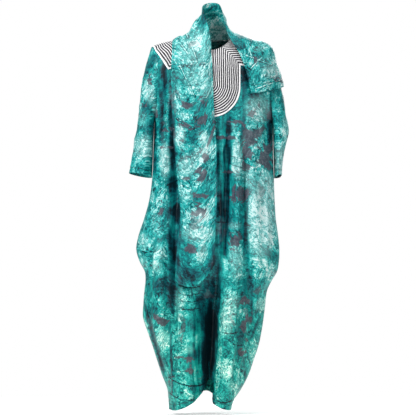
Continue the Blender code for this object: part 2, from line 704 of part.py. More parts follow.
def make_stole(tree):
    """The stole in its three stretches: the long fall, round the neck, and over the left shoulder."""
    points = stole_sheet()
    points = settle(points, -grid_normals(points), tree, STOLE_CLEARANCE)
    normals = -grid_normals(points)
    stretches = (
        ("stole_fall", 0, FALL_END_ROW),
        ("stole_neck", FALL_END_ROW, NECK_END_ROW),
        ("stole_shoulder", NECK_END_ROW, STOLE_ROWS - 1),
    )
    for name, first, last in stretches:
        part = points[first:last + 1].copy()
        for row, inward in ((0, 1), (-1, -2)):
            ahead = part[inward] - part[row]
            part[row] += ahead / np.linalg.norm(ahead, axis=1)[:, None] * SEAM_GAP / 2
        cloth_wall(name, part, normals[first:last + 1], TEAL_STOLE)


def make_dress():
    for old in list(bpy.data.objects):
        bpy.data.objects.remove(old, do_unlink=True)
    roll_rows, arm_rows = 6, 5
    body = [
        make_body("dress_front", FRONT, 45, roll_rows, arm_rows, 6),
        make_body("dress_back", BACK, 27, roll_rows, arm_rows, 4),
        make_sleeve("right_sleeve", RIGHT_SLEEVE, -1, roll_rows, arm_rows),
        make_sleeve("left_sleeve", LEFT_SLEEVE, 1, roll_rows, arm_rows),
    ]
    make_yoke(surface_tree(body))
    make_stole(surface_tree([thing for thing in bpy.data.objects if thing.type == "MESH"]))


make_dress()
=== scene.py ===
"""Boubou maxi dress in silky hand-dyed cloth, worn, with a corded yoke and a stole of the same cloth.

Tables and shapes are in millimetres, and meshes are in metres. +X is the viewer's right, -Y the front
and +Z up. Cloth is worked out as grids of points: rows run down the cloth and columns across it.
"""

import math

import bmesh
import bpy
import numpy as np
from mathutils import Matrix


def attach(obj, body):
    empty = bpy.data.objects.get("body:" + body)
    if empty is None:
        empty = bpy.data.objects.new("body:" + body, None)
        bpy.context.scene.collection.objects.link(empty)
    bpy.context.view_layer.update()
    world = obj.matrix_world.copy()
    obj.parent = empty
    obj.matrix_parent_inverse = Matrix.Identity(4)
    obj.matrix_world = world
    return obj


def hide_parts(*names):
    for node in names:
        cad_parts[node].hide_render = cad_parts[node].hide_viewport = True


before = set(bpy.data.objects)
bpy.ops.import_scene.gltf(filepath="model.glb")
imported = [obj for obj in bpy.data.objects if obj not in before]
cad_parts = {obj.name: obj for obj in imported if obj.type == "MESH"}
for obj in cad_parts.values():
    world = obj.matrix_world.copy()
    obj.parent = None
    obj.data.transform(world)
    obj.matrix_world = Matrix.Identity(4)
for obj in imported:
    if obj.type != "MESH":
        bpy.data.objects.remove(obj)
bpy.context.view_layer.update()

MM = 0.001
FRONT = -1
BACK = 1


def columns_of(names, rows):
    """A table's columns by name."""
    values = np.array(rows, float)
    return {name: values[:, number] for number, name in enumerate(names.split())}


# Sizes of the dress

ROLL_END = -135.0
TIP = 226.0
SLOPE_START = 60.0
SHOULDER_DROP = 28.0
SHOULDER_BEND = 2.6
ARMHOLE_DEPTH = 62.0
UNDERARM = -310.0
HEM_ZONE_TOP = -1080.0
SEAM_GAP = 0.3
CLOTH = 1.1
HEM_CLOTH = 1.7

NECK_HALF = 75.0
NECK_FRONT_RUN = 102.0
NECK_BACK_RUN = 28.0
NECK_EDGE_TUCK = 4.0

# Run over the shoulder that the neckline and the runs down the cloth count with.
ROLL_RUN = 199.0
BODY_HEM = 22.0
CUFF_HEM = 20.0
STOLE_END_HEM = 30.0
STOLE_SIDE_HEM = 9.0
# Where each piece's pattern starts down the dyed cloth, and each sleeve's distance from that.
BACK_PATTERN = 3000
SLEEVE_PATTERN = 5000
SLEEVE_PATTERN_STEP = 800
STOLE_PATTERN = 8000
# Rows of the dress over the shoulder, along the armhole, down the body and in the zone of the hem.
ROLL_ROWS, ARM_ROWS, BODY_ROWS, HEM_ROWS = 24, 34, 124, 34
FRONT_COLUMNS, BACK_COLUMNS = 181, 141
SLEEVE_ROWS, SLEEVE_COLUMNS = 120, 128
STOLE_ROWS, STOLE_COLUMNS = 401, 71

SECTIONS = columns_of("height left right front back", (
    (-135, -200, 212, 118, 104),
    (-220, -204, 224, 126, 108),
    (-310, -214, 234, 130, 112),
    (-420, -219, 236, 128, 116),
    (-517, -223, 239, 126, 122),
    (-608, -235, 242, 128, 130),
    (-684, -256, 247, 132, 136),
    (-741, -275, 255, 134, 140),
    (-798, -284, 260, 136, 142),
    (-844, -270, 258, 136, 143),
    (-882, -251, 250, 136, 144),
    (-912, -249, 232, 136, 144),
    (-950, -253, 214, 135, 144),
    (-1000, -257, 207, 134, 143),
    (-1056, -258, 200, 132, 141),
    (-1102, -243, 193, 130, 138),
    (-1159, -223, 181, 127, 134),
    (-1216, -205, 162, 122, 129),
    (-1273, -186, 142, 117, 124),
    (-1330, -165, 112, 111, 118),
    (-1368, -162, 86, 107, 114),
    (-1410, -160, 68, 103, 110),
))

# Folds: side, top, foot, the line's place at its top, middle and foot, its half-widths, and its lift.
FOLDS = (
    (FRONT, -140, -430, -192, -184, -186, 14, 12, -24),
    (FRONT, -170, -580, -160, -166, -168, 14, 12, 12),
    (FRONT, -240, -1250, -144, -142, -150, 22, 16, -34),
    (FRONT, -680, -1260, -196, -200, -182, 30, 26, 16),
    (FRONT, -690, -1060, -224, -222, -230, 11, 11, -14),
    (FRONT, -1050, -1310, -248, -206, -160, 11, 13, -12),
    (FRONT, -860, -1600, -92, -94, -100, 48, 42, 22),
    (FRONT, -800, -1700, 34, 10, 2, 58, 12, -88),
    (FRONT, -250, -920, 62, 60, 48, 15, 13, -28),
    (FRONT, -290, -900, 36, 38, 34, 10, 9, 6),
    (FRONT, -270, -1020, 95, 96, 84, 20, 22, 16),
    (FRONT, -860, -1700, 74, 54, 42, 34, 40, 34),
    (FRONT, -320, -1150, 124, 135, 164, 17, 11, -18),
    (FRONT, -320, -1020, 152, 166, 190, 14, 40, 9),
    (FRONT, -165, -440, 208, 216, 222, 10, 10, -16),
    (BACK, -230, -1180, -168, -172, -150, 20, 22, -22),
    (BACK, -250, -1300, -120, -118, -112, 28, 24, 12),
    (BACK, -210, -1700, -54, -50, -72, 22, 22, -26),
    (BACK, -240, -1700, -4, 0, -20, 30, 30, 14),
    (BACK, -200, -1700, 58, 62, 28, 22, 22, -26),
    (BACK, -240, -1400, 112, 118, 78, 28, 26, 12),
    (BACK, -230, -1180, 170, 180, 140, 18, 20, -20),
    (BACK, -690, -1060, -222, -224, -224, 12, 12, -12),
)
# Finer folds in the same form, too small for the plain model.
FINE_FOLDS = (
    (FRONT, -330, -820, 108, 106, 100, 5, 5, 4),
    (FRONT, -330, -760, 84, 84, 78, 5, 5, -4),
    (FRONT, -320, -700, 46, 47, 44, 4, 4, 4),
    (FRONT, -330, -700, 126, 128, 134, 4, 5, -6),
    (FRONT, -360, -820, 176, 184, 196, 9, 10, -4),
    (FRONT, -420, -960, 206, 214, 196, 8, 9, 5),
    (FRONT, -620, -1000, 226, 236, 214, 6, 7, -5),
    (FRONT, -400, -760, -204, -208, -222, 6, 6, -5),
    (FRONT, -420, -900, -176, -178, -186, 7, 6, 5),
    (FRONT, -720, -1200, -172, -170, -160, 7, 7, -7),
    (FRONT, -760, -1180, -214, -216, -200, 8, 8, 5),
    (FRONT, -840, -1140, -238, -236, -226, 6, 6, -5),
    (FRONT, -900, -1420, -118, -116, -126, 8, 9, 6),
    (FRONT, -880, -1430, -92, -94, -96, 7, 7, -4),
    (FRONT, -940, -1430, -66, -68, -72, 8, 8, 5),
    (FRONT, -980, -1400, -42, -44, -50, 6, 6, -5),
    (FRONT, -820, -1240, 66, 60, 40, 7, 7, -5),
    (FRONT, -860, -1330, 92, 84, 54, 8, 8, 5),
    (FRONT, -880, -1380, 118, 102, 58, 8, 9, -7),
    (FRONT, -960, -1300, 150, 128, 92, 8, 8, 6),
    (FRONT, -820, -1060, 168, 172, 168, 8, 8, 5),
    (FRONT, -1120, -1390, -146, -142, -140, 6, 6, 5),
    (BACK, -300, -1300, -92, -88, -80, 10, 10, 6),
    (BACK, -420, -1390, -26, -24, -46, 9, 9, -6),
    (BACK, -380, -1390, 32, 36, 8, 9, 9, 6),
    (BACK, -340, -1240, 88, 92, 60, 8, 8, -6),
    (BACK, -360, -1100, 146, 150, 118, 9, 9, 6),
    (BACK, -360, -1080, -146, -150, -128, 9, 9, -6),
    (BACK, -520, -1060, 206, 214, 178, 9, 9, 6),
    (BACK, -520, -1120, -200, -208, -190, 9, 9, 6),
)

FRONT_HEM = columns_of("across height", (
    (-1.0, -1402),
    (-0.8, -1405),
    (-0.56, -1400),
    (-0.34, -1386),
    (-0.14, -1363),
    (0.02, -1320),
    (0.14, -1289),
    (0.21, -1284),
    (0.29, -1318),
    (0.42, -1366),
    (0.56, -1392),
    (0.78, -1404),
    (1.0, -1399),
))
BACK_HEM = columns_of("across height", (
    (-1.0, -1402),
    (-0.65, -1396),
    (-0.25, -1352),
    (0.05, -1336),
    (0.35, -1354),
    (0.7, -1394),
    (1.0, -1399),
))

RING_COLUMNS = "outer_x outer_z inner_x inner_z depth"
RIGHT_SLEEVE = columns_of(RING_COLUMNS, (
    (-226, -28, -214, -310, 62),
    (-240, -62, -215.4, -322, 62),
    (-252, -104, -216.2, -336, 62),
    (-262, -155, -217.0, -352, 61),
    (-270, -212, -217.9, -370, 59),
    (-278, -272, -218.8, -392, 57),
    (-285, -335, -219.7, -418, 54),
    (-294, -392, -220.8, -446, 51),
    (-304, -448, -222.2, -480, 48),
    (-315, -499, -224.0, -517, 46),
))
LEFT_SLEEVE = columns_of(RING_COLUMNS, (
    (226, -28, 234, -310, 62),
    (230, -62, 235.1, -322, 62),
    (240, -102, 235.4, -336, 62),
    (256, -150, 235.7, -352, 61),
    (271, -204, 236.0, -370, 60),
    (284, -266, 236.4, -392, 59),
    (296, -330, 237.0, -418, 58),
    (288, -385, 237.9, -446, 60),
    (277, -448, 239.0, -480, 60),
    (270, -508, 240.2, -517, 60),
))
ARMHOLE_BLEND = np.array([0.0, 0.35, 0.7, 0.92, 1.0, 1.0, 1.0, 1.0, 1.0, 1.0])
CUFF_BACK_DROP = 11.0
SLEEVE_FOLD = 5.0

# Sizes of the yoke: half a cord's pitch is one row

CORD_PITCH = 7.86
CORD_ROW = CORD_PITCH / 2
STEPS_PER_ROW = 6
YOKE_UNDERSIDE = 0.5
YOKE_TOP = 1.6
WHITE_CORD = 1.5
BLACK_CORD = 0.8
SHOULDER_STRAIGHT_ROWS = 30
SHOULDER_ROWS = 37
NECK_SHARE = 0.35
BIB_HALF = 110.0
BIB_ROWS = 28
BIB_CENTRE_RUN = 237.0
BIB_FOOT_STRETCH = 1.11
YOKE_BACK_RUN = 96.0
# Where each ray across the shoulder's rows starts, and its step for each millimetre inward.
TIP_RAY = (222, 0, -1.0, 0.0)
EDGE_RAY = (212, 56, -1.0, -0.316)
CORNER_RAY = (161, 148, -0.56, -1.0)
MITRE_RAY = (110, 157, -1.0, -1.0)

# Sizes of the stole: its inner edge, middle and outer edge, from the long fall to the flap

STOLE = columns_of("ix iy iz mx my mz ox oy oz", (
    (13, -148, -930, -62, -160, -930, -138, -150, -930),
    (14, -148, -798, -57, -158, -798, -130, -148, -798),
    (20, -148, -665, -48, -156, -665, -116, -146, -665),
    (23, -146, -532, -52, -154, -532, -127, -142, -532),
    (19, -146, -400, -62, -154, -400, -140, -134, -400),
    (13, -144, -280, -68, -152, -280, -147, -128, -280),
    (8, -136, -160, -70, -142, -160, -150, -114, -162),
    (5, -124, -80, -66, -124, -76, -149, -98, -84),
    (1, -108, -36, -62, -98, -24, -146, -58, -26),
    (-6, -84, 8, -68, -66, 20, -142, -6, 1),
    (-14, -62, 56, -78, -38, 36, -138, 34, -8),
    (-24, -36, 98, -72, -4, 50, -120, 66, -26),
    (-29, 4, 124, -62, 32, 52, -90, 96, -38),
    (-18, 40, 139, -34, 68, 50, -46, 116, -50),
    (6, 58, 144, 6, 84, 46, 8, 124, -56),
    (34, 46, 138, 48, 72, 44, 66, 118, -56),
    (48, 12, 110, 72, 52, 34, 118, 104, -56),
    (54, -24, 66, 92, 24, 22, 166, 84, -62),
    (64, -56, 22, 122, -4, 12, 208, 62, -74),
    (82, -84, -14, 160, -30, -8, 240, 44, -96),
    (104, -100, -48, 196, -48, -40, 262, 34, -124),
    (126, -112, -100, 222, -66, -88, 274, 28, -148),
    (140, -118, -150, 230, -82, -136, 278, 24, -162),
    (152, -120, -205, 228, -92, -192, 276, 20, -176),
))
FALL_HEM = columns_of("across lift", ((0.0, 78), (0.2, 34), (0.4, 4), (0.65, -6), (1.0, 14)))
STOLE_RIPPLE = 5.0
STOLE_CLEARANCE = 3.6
# Pressed creases on the stole, seen from the front: from, to, half-width and lift.
CREASES = (
    (-150, -108, -74, -94, 4, 2.2),
    (-74, -94, -12, -90, 4, 2.2),
    (-118, -100, -62, -218, 4, 2.4),
    (-62, -218, -16, -222, 4, -1.8),
    (-16, -222, 12, -150, 5, 1.6),
    (-112, -20, -66, -84, 7, -2.0),
    (-96, 30, -56, -70, 8, 2.0),
    (-128, -300, -40, -352, 5, 1.8),
    (-120, -460, -20, -420, 6, 1.6),
    (168, -188, 282, -146, 4, 1.6),
    (132, -60, 230, -96, 7, 2.0),
    (150, -110, 200, -60, 6, -1.8),
)

# The dyed cloth and its painted shade, seen from the front: place, half-width, half-height, lean in degrees,
# strength

PALE_PATCHES = (
    (-62, -40, 72, 96, 0, 0.66),
    (-50, -140, 60, 56, 20, 0.6),
    (-20, -190, 38, 44, 0, 0.6),
    (190, -680, 50, 150, 0, 1.3),
    (214, -92, 56, 50, 10, 0.4),
    (158, -330, 60, 120, 0, 0.3),
    (212, -560, 36, 66, 10, 1.05),
    (98, -452, 19, 70, 0, 1.25),
    (-175, -456, 20, 64, 0, 1.1),
    (-194, -806, 22, 34, 20, 0.65),
    (61, -1064, 26, 60, 0, 0.8),
    (76, -1000, 34, 44, -20, 0.7),
    (228, -115, 40, 30, 15, 0.85),
    (196, -30, 46, 16, 20, 0.55),
    (-118, -365, 22, 42, 0, 0.85),
    (-34, -430, 48, 28, 30, 0.75),
    (-90, -480, 38, 48, -20, 0.75),
    (-24, -380, 24, 38, 30, 0.75),
    (-43, -665, 50, 20, -10, 0.75),
    (-49, -735, 62, 34, 0, 0.8),
    (-92, -590, 30, 28, 10, 0.5),
    (-34, -806, 20, 42, -10, 0.7),
    (95, -836, 36, 62, 0, 0.65),
    (89, -705, 30, 16, 0, 0.6),
    (-252, -765, 26, 34, 0, 0.6),
    (-258, -850, 20, 22, 0, 0.5),
    (-258, -404, 40, 44, 10, 0.85),
    (-262, -300, 26, 40, 0, 0.4),
    (262, -450, 26, 60, 0, 0.95),
    (282, -340, 16, 60, 0, 0.6),
    (-205, -858, 22, 26, 30, 0.65),
    (-180, -1134, 30, 38, 10, 0.7),
    (-118, -985, 24, 60, 0, 0.55),
    (-86, -1172, 24, 18, 0, 0.6),
    (53, -1257, 28, 42, 0, 0.45),
    (190, -1007, 28, 26, 20, 0.7),
    (99, -890, 36, 24, 0, 0.5),
    (76, -1310, 20, 24, 0, 0.5),
    (-236, -200, 22, 46, 10, 0.75),
    (-212, -262, 12, 30, 10, 0.6),
    (178, -262, 50, 54, 0, 1.0),
    (120, -400, 10, 60, 0, 0.5),
    (88, -330, 14, 26, 0, 0.5),
    (-100, -290, 26, 14, -10, 0.6),
    (150, -540, 26, 70, 20, 0.75),
    (230, -880, 28, 46, 0, 0.55),
    (-210, -700, 22, 60, 0, 0.4),
)
SLATE_PATCHES = (
    (-34, -306, 24, 15, 30, 0.95),
    (4, -350, 6, 48, -18, 1.0),
    (-103, -326, 22, 14, -20, 0.9),
    (-23, -445, 15, 20, 0, 1.0),
    (-42, -506, 20, 24, 20, 0.95),
    (-47, -589, 40, 7, -10, 1.0),
    (-42, -650, 27, 20, 0, 1.0),
    (146, -370, 34, 46, 10, 1.1),
    (176, -350, 24, 20, 0, 0.9),
    (134, -436, 16, 40, 0, 0.9),
    (204, -440, 22, 46, -14, 1.1),
    (91, -760, 18, 28, -10, 1.0),
    (112, -582, 20, 26, 0, 1.0),
    (-232, -152, 18, 14, 0, 0.85),
    (-247, -250, 12, 16, 0, 0.8),
    (-213, -278, 12, 18, 20, 0.8),
    (-194, -1064, 34, 10, -20, 0.9),
    (133, -1068, 10, 26, -30, 0.95),
    (122, -1132, 18, 9, -20, 0.9),
    (118, -1186, 10, 16, -20, 0.9),
    (133, -988, 18, 12, -30, 0.9),
    (-107, -1205, 36, 6, -8, 0.85),
    (-80, -1254, 20, 6, 0, 0.75),
    (-99, -528, 20, 9, 0, 0.9),
    (-112, -382, 16, 8, 0, 0.9),
    (-80, -802, 18, 16, -40, 0.85),
    (-190, -638, 9, 24, 0, 0.7),
    (-168, -345, 26, 8, 0, 0.9),
    (160, -76, 16, 16, 0, 0.6),
    (250, -150, 20, 10, -10, 0.8),
    (-100, -250, 26, 12, 0, 0.75),
    (-30, -238, 14, 14, 40, 0.8),
    (72, -312, 52, 6, 0, 0.7),
    (60, -372, 46, 6, 0, 0.85),
    (66, -502, 34, 7, 0, 0.7),
    (66, -600, 34, 7, 0, 0.7),
    (200, -330, 14, 60, -30, 0.7),
    (150, -290, 10, 50, -35, 0.7),
    (-168, -410, 20, 4, 0, 0.9),
    (230, -1010, 12, 12, 0, 0.5),
    (-150, -1290, 16, 10, 30, 0.6),
)
# Painted shade in the fold valleys, in the recess between the lobes and in the hollows beside and under the
# stole and the flap, in the same form.
SHADE_PATCHES = (
    (-138, -640, 22, 140, 4, 1.0),
    (-146, -400, 12, 140, 0, 1.0),
    (-128, -860, 14, 100, 6, 0.7),
    (66, -400, 12, 110, 0, 1.0),
    (58, -560, 12, 190, 0, 0.8),
    (26, -520, 6, 230, 0, 0.6),
    (36, -690, 20, 110, 0, 0.8),
    (20, -860, 26, 90, 0, 0.8),
    (-6, -1136, 31, 190, -3, 1.4),
    (-20, -1000, 28, 76, 8, 0.8),
    (-84, -1085, 30, 44, 0, 0.4),
    (-188, -927, 40, 30, 20, 0.6),
    (-218, -1125, 9, 140, 16, 1.0),
    (-184, -150, 18, 70, -8, 0.9),
    (-152, -270, 9, 100, 0, 0.95),
    (127, -156, 16, 50, 0, 0.9),
    (161, -212, 22, 16, 0, 0.9),
    (226, -330, 6, 120, 0, 0.9),
    (-213, -400, 7, 110, 0, 0.8),
    (140, -250, 20, 40, 0, 0.5),
    (116, -1120, 14, 60, -10, 0.5),
    (-62, -1235, 52, 80, 0, 0.55),
    (-150, -1200, 5, 110, 2, 0.8),
    (-90, -880, 36, 34, 0, 0.4),
    (132, -700, 7, 170, -3, 0.8),
    (122, -330, 7, 90, -6, 0.8),
    (8, 112, 40, 42, 0, 0.45),
    (212, -806, 40, 20, -30, 0.45),
    (166, -960, 22, 30, 0, 0.5),
    (154, -960, 5, 110, 0, 0.8),
    (168, -1090, 6, 60, -24, 0.7),
)
# Places where the dye runs in upright streaks instead of crackle, in the same form.
STREAK_PATCHES = (
    (56, -500, 34, 230, 0, 1.0),
    (38, -800, 30, 130, 0, 0.8),
    (-40, -1180, 62, 170, 0, 0.9),
    (-146, -480, 15, 260, 0, 0.8),
    (-136, -790, 22, 150, 0, 0.7),
    (-176, -120, 20, 90, -8, 0.8),
    (-2, -1120, 24, 150, 0, 0.8),
    (120, -250, 14, 90, 0, 0.6),
)
# Thin dark lines of painted shade along the front's folds: middle, half-length, sag, half-width, slope,
# strength.
FOLD_SHADE_LINES = (
    (-82, -1284, 84, 26, 2.4, -0.10, 1.0),
    (-108, -1346, 54, 18, 2.0, -0.22, 0.9),
    (-82, -930, 44, 8, 1.6, -0.06, 0.9),
    (-84, -958, 42, 9, 1.6, -0.04, 0.9),
    (-84, -983, 42, 9, 1.6, -0.04, 0.9),
    (-82, -1014, 42, 8, 1.6, -0.02, 0.8),
    (68, -1106, 34, 6, 1.8, 0.0, 0.9),
    (50, -1366, 30, 8, 2.0, 0.0, 0.9),
    (98, -446, 28, 2, 1.5, -0.2, 1.0),
    (98, -478, 28, 3, 1.5, -0.3, 1.0),
    (98, -508, 28, 3, 1.5, -0.35, 1.0),
    (-162, -474, 28, 4, 1.5, 0.35, 0.9),
    (-142, -538, 28, 4, 1.8, 0.5, 0.9),
    (-235, -802, 30, 3, 2.0, 0.0, 0.9),
    (40, -690, 28, 2, 2.0, 0.0, 0.7),
    (88, -1146, 30, 5, 1.6, -0.5, 0.7),
    (-40, -700, 50, 8, 1.6, -0.1, 0.6),
)


def seeded_patches(seed, count, size, strength):
    """Patches of the unseen back in the same form, at random places over the whole dress."""
    draw = np.random.default_rng(seed)
    return tuple(zip(
        draw.uniform(-290, 270, count),
        draw.uniform(-1400, 60, count),
        draw.uniform(0.5, 1.4, count) * size,
        draw.uniform(0.6, 2.2, count) * size,
        draw.uniform(-40, 40, count),
        draw.uniform(0.6, 1.0, count) * strength,
    ))


BACK_PALE = seeded_patches(3, 46, 30, 0.8)
BACK_SLATE = seeded_patches(5, 40, 13, 1.0)
BACK_DEEP = seeded_patches(8, 16, 26, 0.8)


# Shapes worked out on whole grids


def curve(keys, values, at):
    """A smooth cubic curve through (key, value) pairs, read at many places: a Hermite curve whose
    slopes are the central differences of the pairs."""
    order = np.argsort(keys)
    keys, values = keys[order], values[order]
    slopes = np.gradient(values, keys)
    at = np.clip(np.asarray(at, float), keys[0], keys[-1])
    low = np.clip(np.searchsorted(keys, at) - 1, 0, len(keys) - 2)
    span = keys[low + 1] - keys[low]
    t = (at - keys[low]) / span
    return (
        values[low] * (2 * t**3 - 3 * t**2 + 1)
        + slopes[low] * span * (t**3 - 2 * t**2 + t)
        + values[low + 1] * (3 * t**2 - 2 * t**3)
        + slopes[low + 1] * span * (t**3 - t**2)
    )


def section_at(height, name):
    return curve(SECTIONS["height"], SECTIONS[name], height)


def soft_step(t):
    """0 below 0, 1 above 1, and 3t^2 - 2t^3 between."""
    t = np.clip(t, 0.0, 1.0)
    return t * t * (3.0 - 2.0 * t)


def shoulder_line(x):
    """Height of the shoulder seam: level by the neck, then falling with a power of the distance out."""
    t = np.clip((np.abs(x) - SLOPE_START) / (TIP - SLOPE_START), 0.0, 1.3)
    return -SHOULDER_DROP * t**SHOULDER_BEND


def armhole_depth(height):
    """Half-depth of the armhole: an ellipse that closes at the underarm."""
    t = np.clip((ROLL_END - height) / (ROLL_END - UNDERARM), 0.0, 1.0)
    return ARMHOLE_DEPTH * np.sqrt(1.0 - t * t)


def section_depth(across, height, edge, deep):
    """Depth of a section: an arch (1 - |across|^p)^q times its depth, joined by root of squares to
    the armhole's depth at the sides."""
    low = soft_step((ROLL_END - height) / (ROLL_END - UNDERARM))
    power = 3.0 - 0.7 * low
    root = 1.0 / (1.3 + 0.9 * low)
    arch = deep * np.maximum(1.0 - np.abs(across) ** power, 0.0) ** root
    return np.hypot(arch, edge * across**2)


def fold_lift(x, height, side):
    """Sum of the folds at a point: each is a bell across its own line, a parabola through three places,
    and fades in and out along it. A fold that sinks in is a sharper bell."""
    total = np.zeros(np.broadcast(x, height).shape)
    for fold_side, top, foot, top_x, middle_x, foot_x, left, right, lift in FOLDS + FINE_FOLDS:
        if fold_side != side:
            continue
        length = top - foot
        t = np.clip((top - height) / length, 0.0, 1.0)
        line = top_x * (1 - t) * (1 - 2 * t) + middle_x * 4 * t * (1 - t) + foot_x * t * (2 * t - 1)
        away = x - line
        width = np.where(away < 0, left, right)
        fade = soft_step((top - height) / (0.3 * length)) * soft_step((height - foot) / (0.25 * length))
        power = 1.45 if lift < 0 else 2.0
        total = total + lift * fade * np.exp(-(np.abs(away / width) ** power))
    return total


def torso(across, turn, height, side):
    """Point of the dress body. Across runs from -1 to 1 between its sides. Turn is the angle rolled over
    the shoulder, whose arc is a quarter ellipse from the seam on top, and height counts below it."""
    across, turn, height = np.broadcast_arrays(across, turn, height)
    below = turn >= math.pi / 2 - 1e-9
    level = np.where(below, height, ROLL_END)
    out = np.where(below, 1.0, np.sin(turn))
    left = -TIP + (section_at(level, "left") + TIP) * out
    right = TIP + (section_at(level, "right") - TIP) * out
    depth = section_at(level, "front" if side == FRONT else "back")
    middle, half = (left + right) / 2, (right - left) / 2
    x = middle + half * across
    y = section_depth(across, level, armhole_depth(level), depth) * out
    ridge = shoulder_line(x)
    z = np.where(below, height, ridge + (ROLL_END - ridge) * (1 - np.cos(turn)))
    lift = np.where(below, fold_lift(x, height, side), 0.0) * (1 - np.abs(across) ** 10)
    lean = np.arcsin(np.clip(across, -1, 1))
    nx, ny = np.sin(lean) * depth, np.cos(lean) * half
    size = np.hypot(nx, ny)
    return np.stack([x + lift * nx / size, side * (y + lift * ny / size), z], axis=-1)


def blur_rows(values, reach):
    """Each row averaged with its neighbours, weighted by a hat of the given reach."""
    first, last = np.repeat(values[:1], reach, axis=0), np.repeat(values[-1:], reach, axis=0)
    padded = np.concatenate([first, values, last])
    weights = reach + 1.0 - np.abs(np.arange(-reach, reach + 1))
    spans = [padded[k:k + len(values)] * weight for k, weight in enumerate(weights)]
    return sum(spans) / weights.sum()


def spread_columns(heights, side, count):
    """Places across the body at each height: equal shares of the row's length and bends together."""
    fine = np.sin(np.linspace(-math.pi / 2, math.pi / 2, 721))
    steps = np.diff(torso(fine[None, :], math.pi / 2, heights[:, None], side), axis=1)
    lengths = np.linalg.norm(steps, axis=2)
    unit = steps / np.maximum(lengths, 1e-6)[..., None]
    bends = np.arccos(np.clip((unit[:, 1:] * unit[:, :-1]).sum(axis=2), -1, 1))
    lengths[:, 1:] += 7.0 * bends
    along = np.concatenate([np.zeros((len(heights), 1)), np.cumsum(lengths, axis=1)], axis=1)
    return np.array([np.interp(np.linspace(0, line[-1], count), line, fine) for line in along])


def grid_normals(points, closed=False):
    """Unit normals of a grid: the cross product of its lines across and down."""
    if closed:
        across = np.roll(points, -1, axis=1) - np.roll(points, 1, axis=1)
    else:
        across = np.gradient(points, axis=1)
    normals = np.cross(across, np.gradient(points, axis=0))
    return normals / np.maximum(np.linalg.norm(normals, axis=2), 1e-9)[:, :, None]


def running_length(points, axis):
    """Distance run along one axis of a grid, from its first point."""
    steps = np.linalg.norm(np.diff(points, axis=axis), axis=2)
    total = np.cumsum(steps, axis=axis)
    return np.insert(total, 0, 0.0, axis=axis)


def crush(u, v, seed, waves=(190, 120, 76, 48, 30)):
    """Height of small crumples in the cloth: ridged waves 1 - 2|sin| in several directions and lengths,
    each bent by a longer wave, with a height of about a seventieth of its length."""
    draw = np.random.default_rng(seed)
    total = np.zeros(np.shape(u))
    for length in waves:
        angle, phase, bend = draw.uniform(-1.1, 1.1), draw.uniform(0, 6.3), draw.uniform(-2, 2)
        warp = 1.3 * np.sin(2 * math.pi * (u * math.sin(bend) + v * math.cos(bend)) / (2.3 * length) + phase)
        wave = np.sin(math.pi * (u * math.cos(angle) + v * math.sin(angle)) / length + phase + warp)
        total += length / 70 * (1 - 2 * np.sqrt(wave * wave + 0.01))
    return total


# The dye's patches and the painted shade on the cloth


def patch_field(x, z, patches, power):
    """Strength of the nearest patch at each point: leaning ovals, whose edges are softer at a lower power."""
    field = np.zeros(np.shape(x))
    for centre_x, centre_z, half_width, half_height, lean, strength in patches:
        a = math.radians(lean)
        dx, dz = x - centre_x, z - centre_z
        across = (dx * math.cos(a) + dz * math.sin(a)) / half_width
        along = (dz * math.cos(a) - dx * math.sin(a)) / half_height
        field = np.maximum(field, strength * np.exp(-0.8 * (across**2 + along**2) ** power))
    return field


def dye_fields(points, facing, sunk=0.0):
    """The patches at each point. Facing is 1 on cloth that faces the front and 0 on the unseen back. Cloth
    that has sunk into a fold is darkened with painted shade. The painted shade of the recess between the
    lobes stops at a sharp edge, where the right lobe starts, and a painted highlight lightens a strip of the
    right lobe beside that edge."""
    x, z = points[..., 0], points[..., 2]

    def front_and_back(front, front_power, back, back_power):
        seen, unseen = patch_field(x, z, front, front_power), patch_field(x, z, back, back_power)
        return facing * seen + (1 - facing) * unseen

    # Painted highlight: a strip of the right lobe along its left edge, freed of painted shade and made
    # lighter.
    edge = np.interp(-z, (1040.0, 1220.0, 1400.0), (34.0, 22.0, 12.0))
    lobe = soft_step((x - edge) / 5 + 0.5) * soft_step((-1075 - z) / 50) * soft_step((edge + 70 - x) / 40)
    lobe = lobe * facing
    # Painted shade where the cloth has sunk into a fold; near the hem a fold must sink further before it
    # darkens.
    low = soft_step((-1000 - z) / 90)
    shade = 0.8 * soft_step((sunk - 3 - 26 * low) / (24 + 20 * low))
    # Deep: painted shade patches on cloth that faces the front, and darker dye patches at random on the
    # unseen back.
    deep = front_and_back(SHADE_PATCHES, 2.2, BACK_DEEP, 1.5)
    return {
        "pale": front_and_back(PALE_PATCHES, 1.5, BACK_PALE, 1.5),
        "slate": front_and_back(SLATE_PATCHES, 0.9, BACK_SLATE, 0.9),
        "deep": np.maximum(deep, shade) * (1 - lobe) - 0.12 * lobe,
        "streak": facing * patch_field(x, z, STREAK_PATCHES, 2.5),
    }


# Closed cloth walls from grids


def add_object(name, data):
    """A new object in the scene."""
    thing = bpy.data.objects.new(name, data)
    bpy.context.scene.collection.objects.link(thing)
    return thing


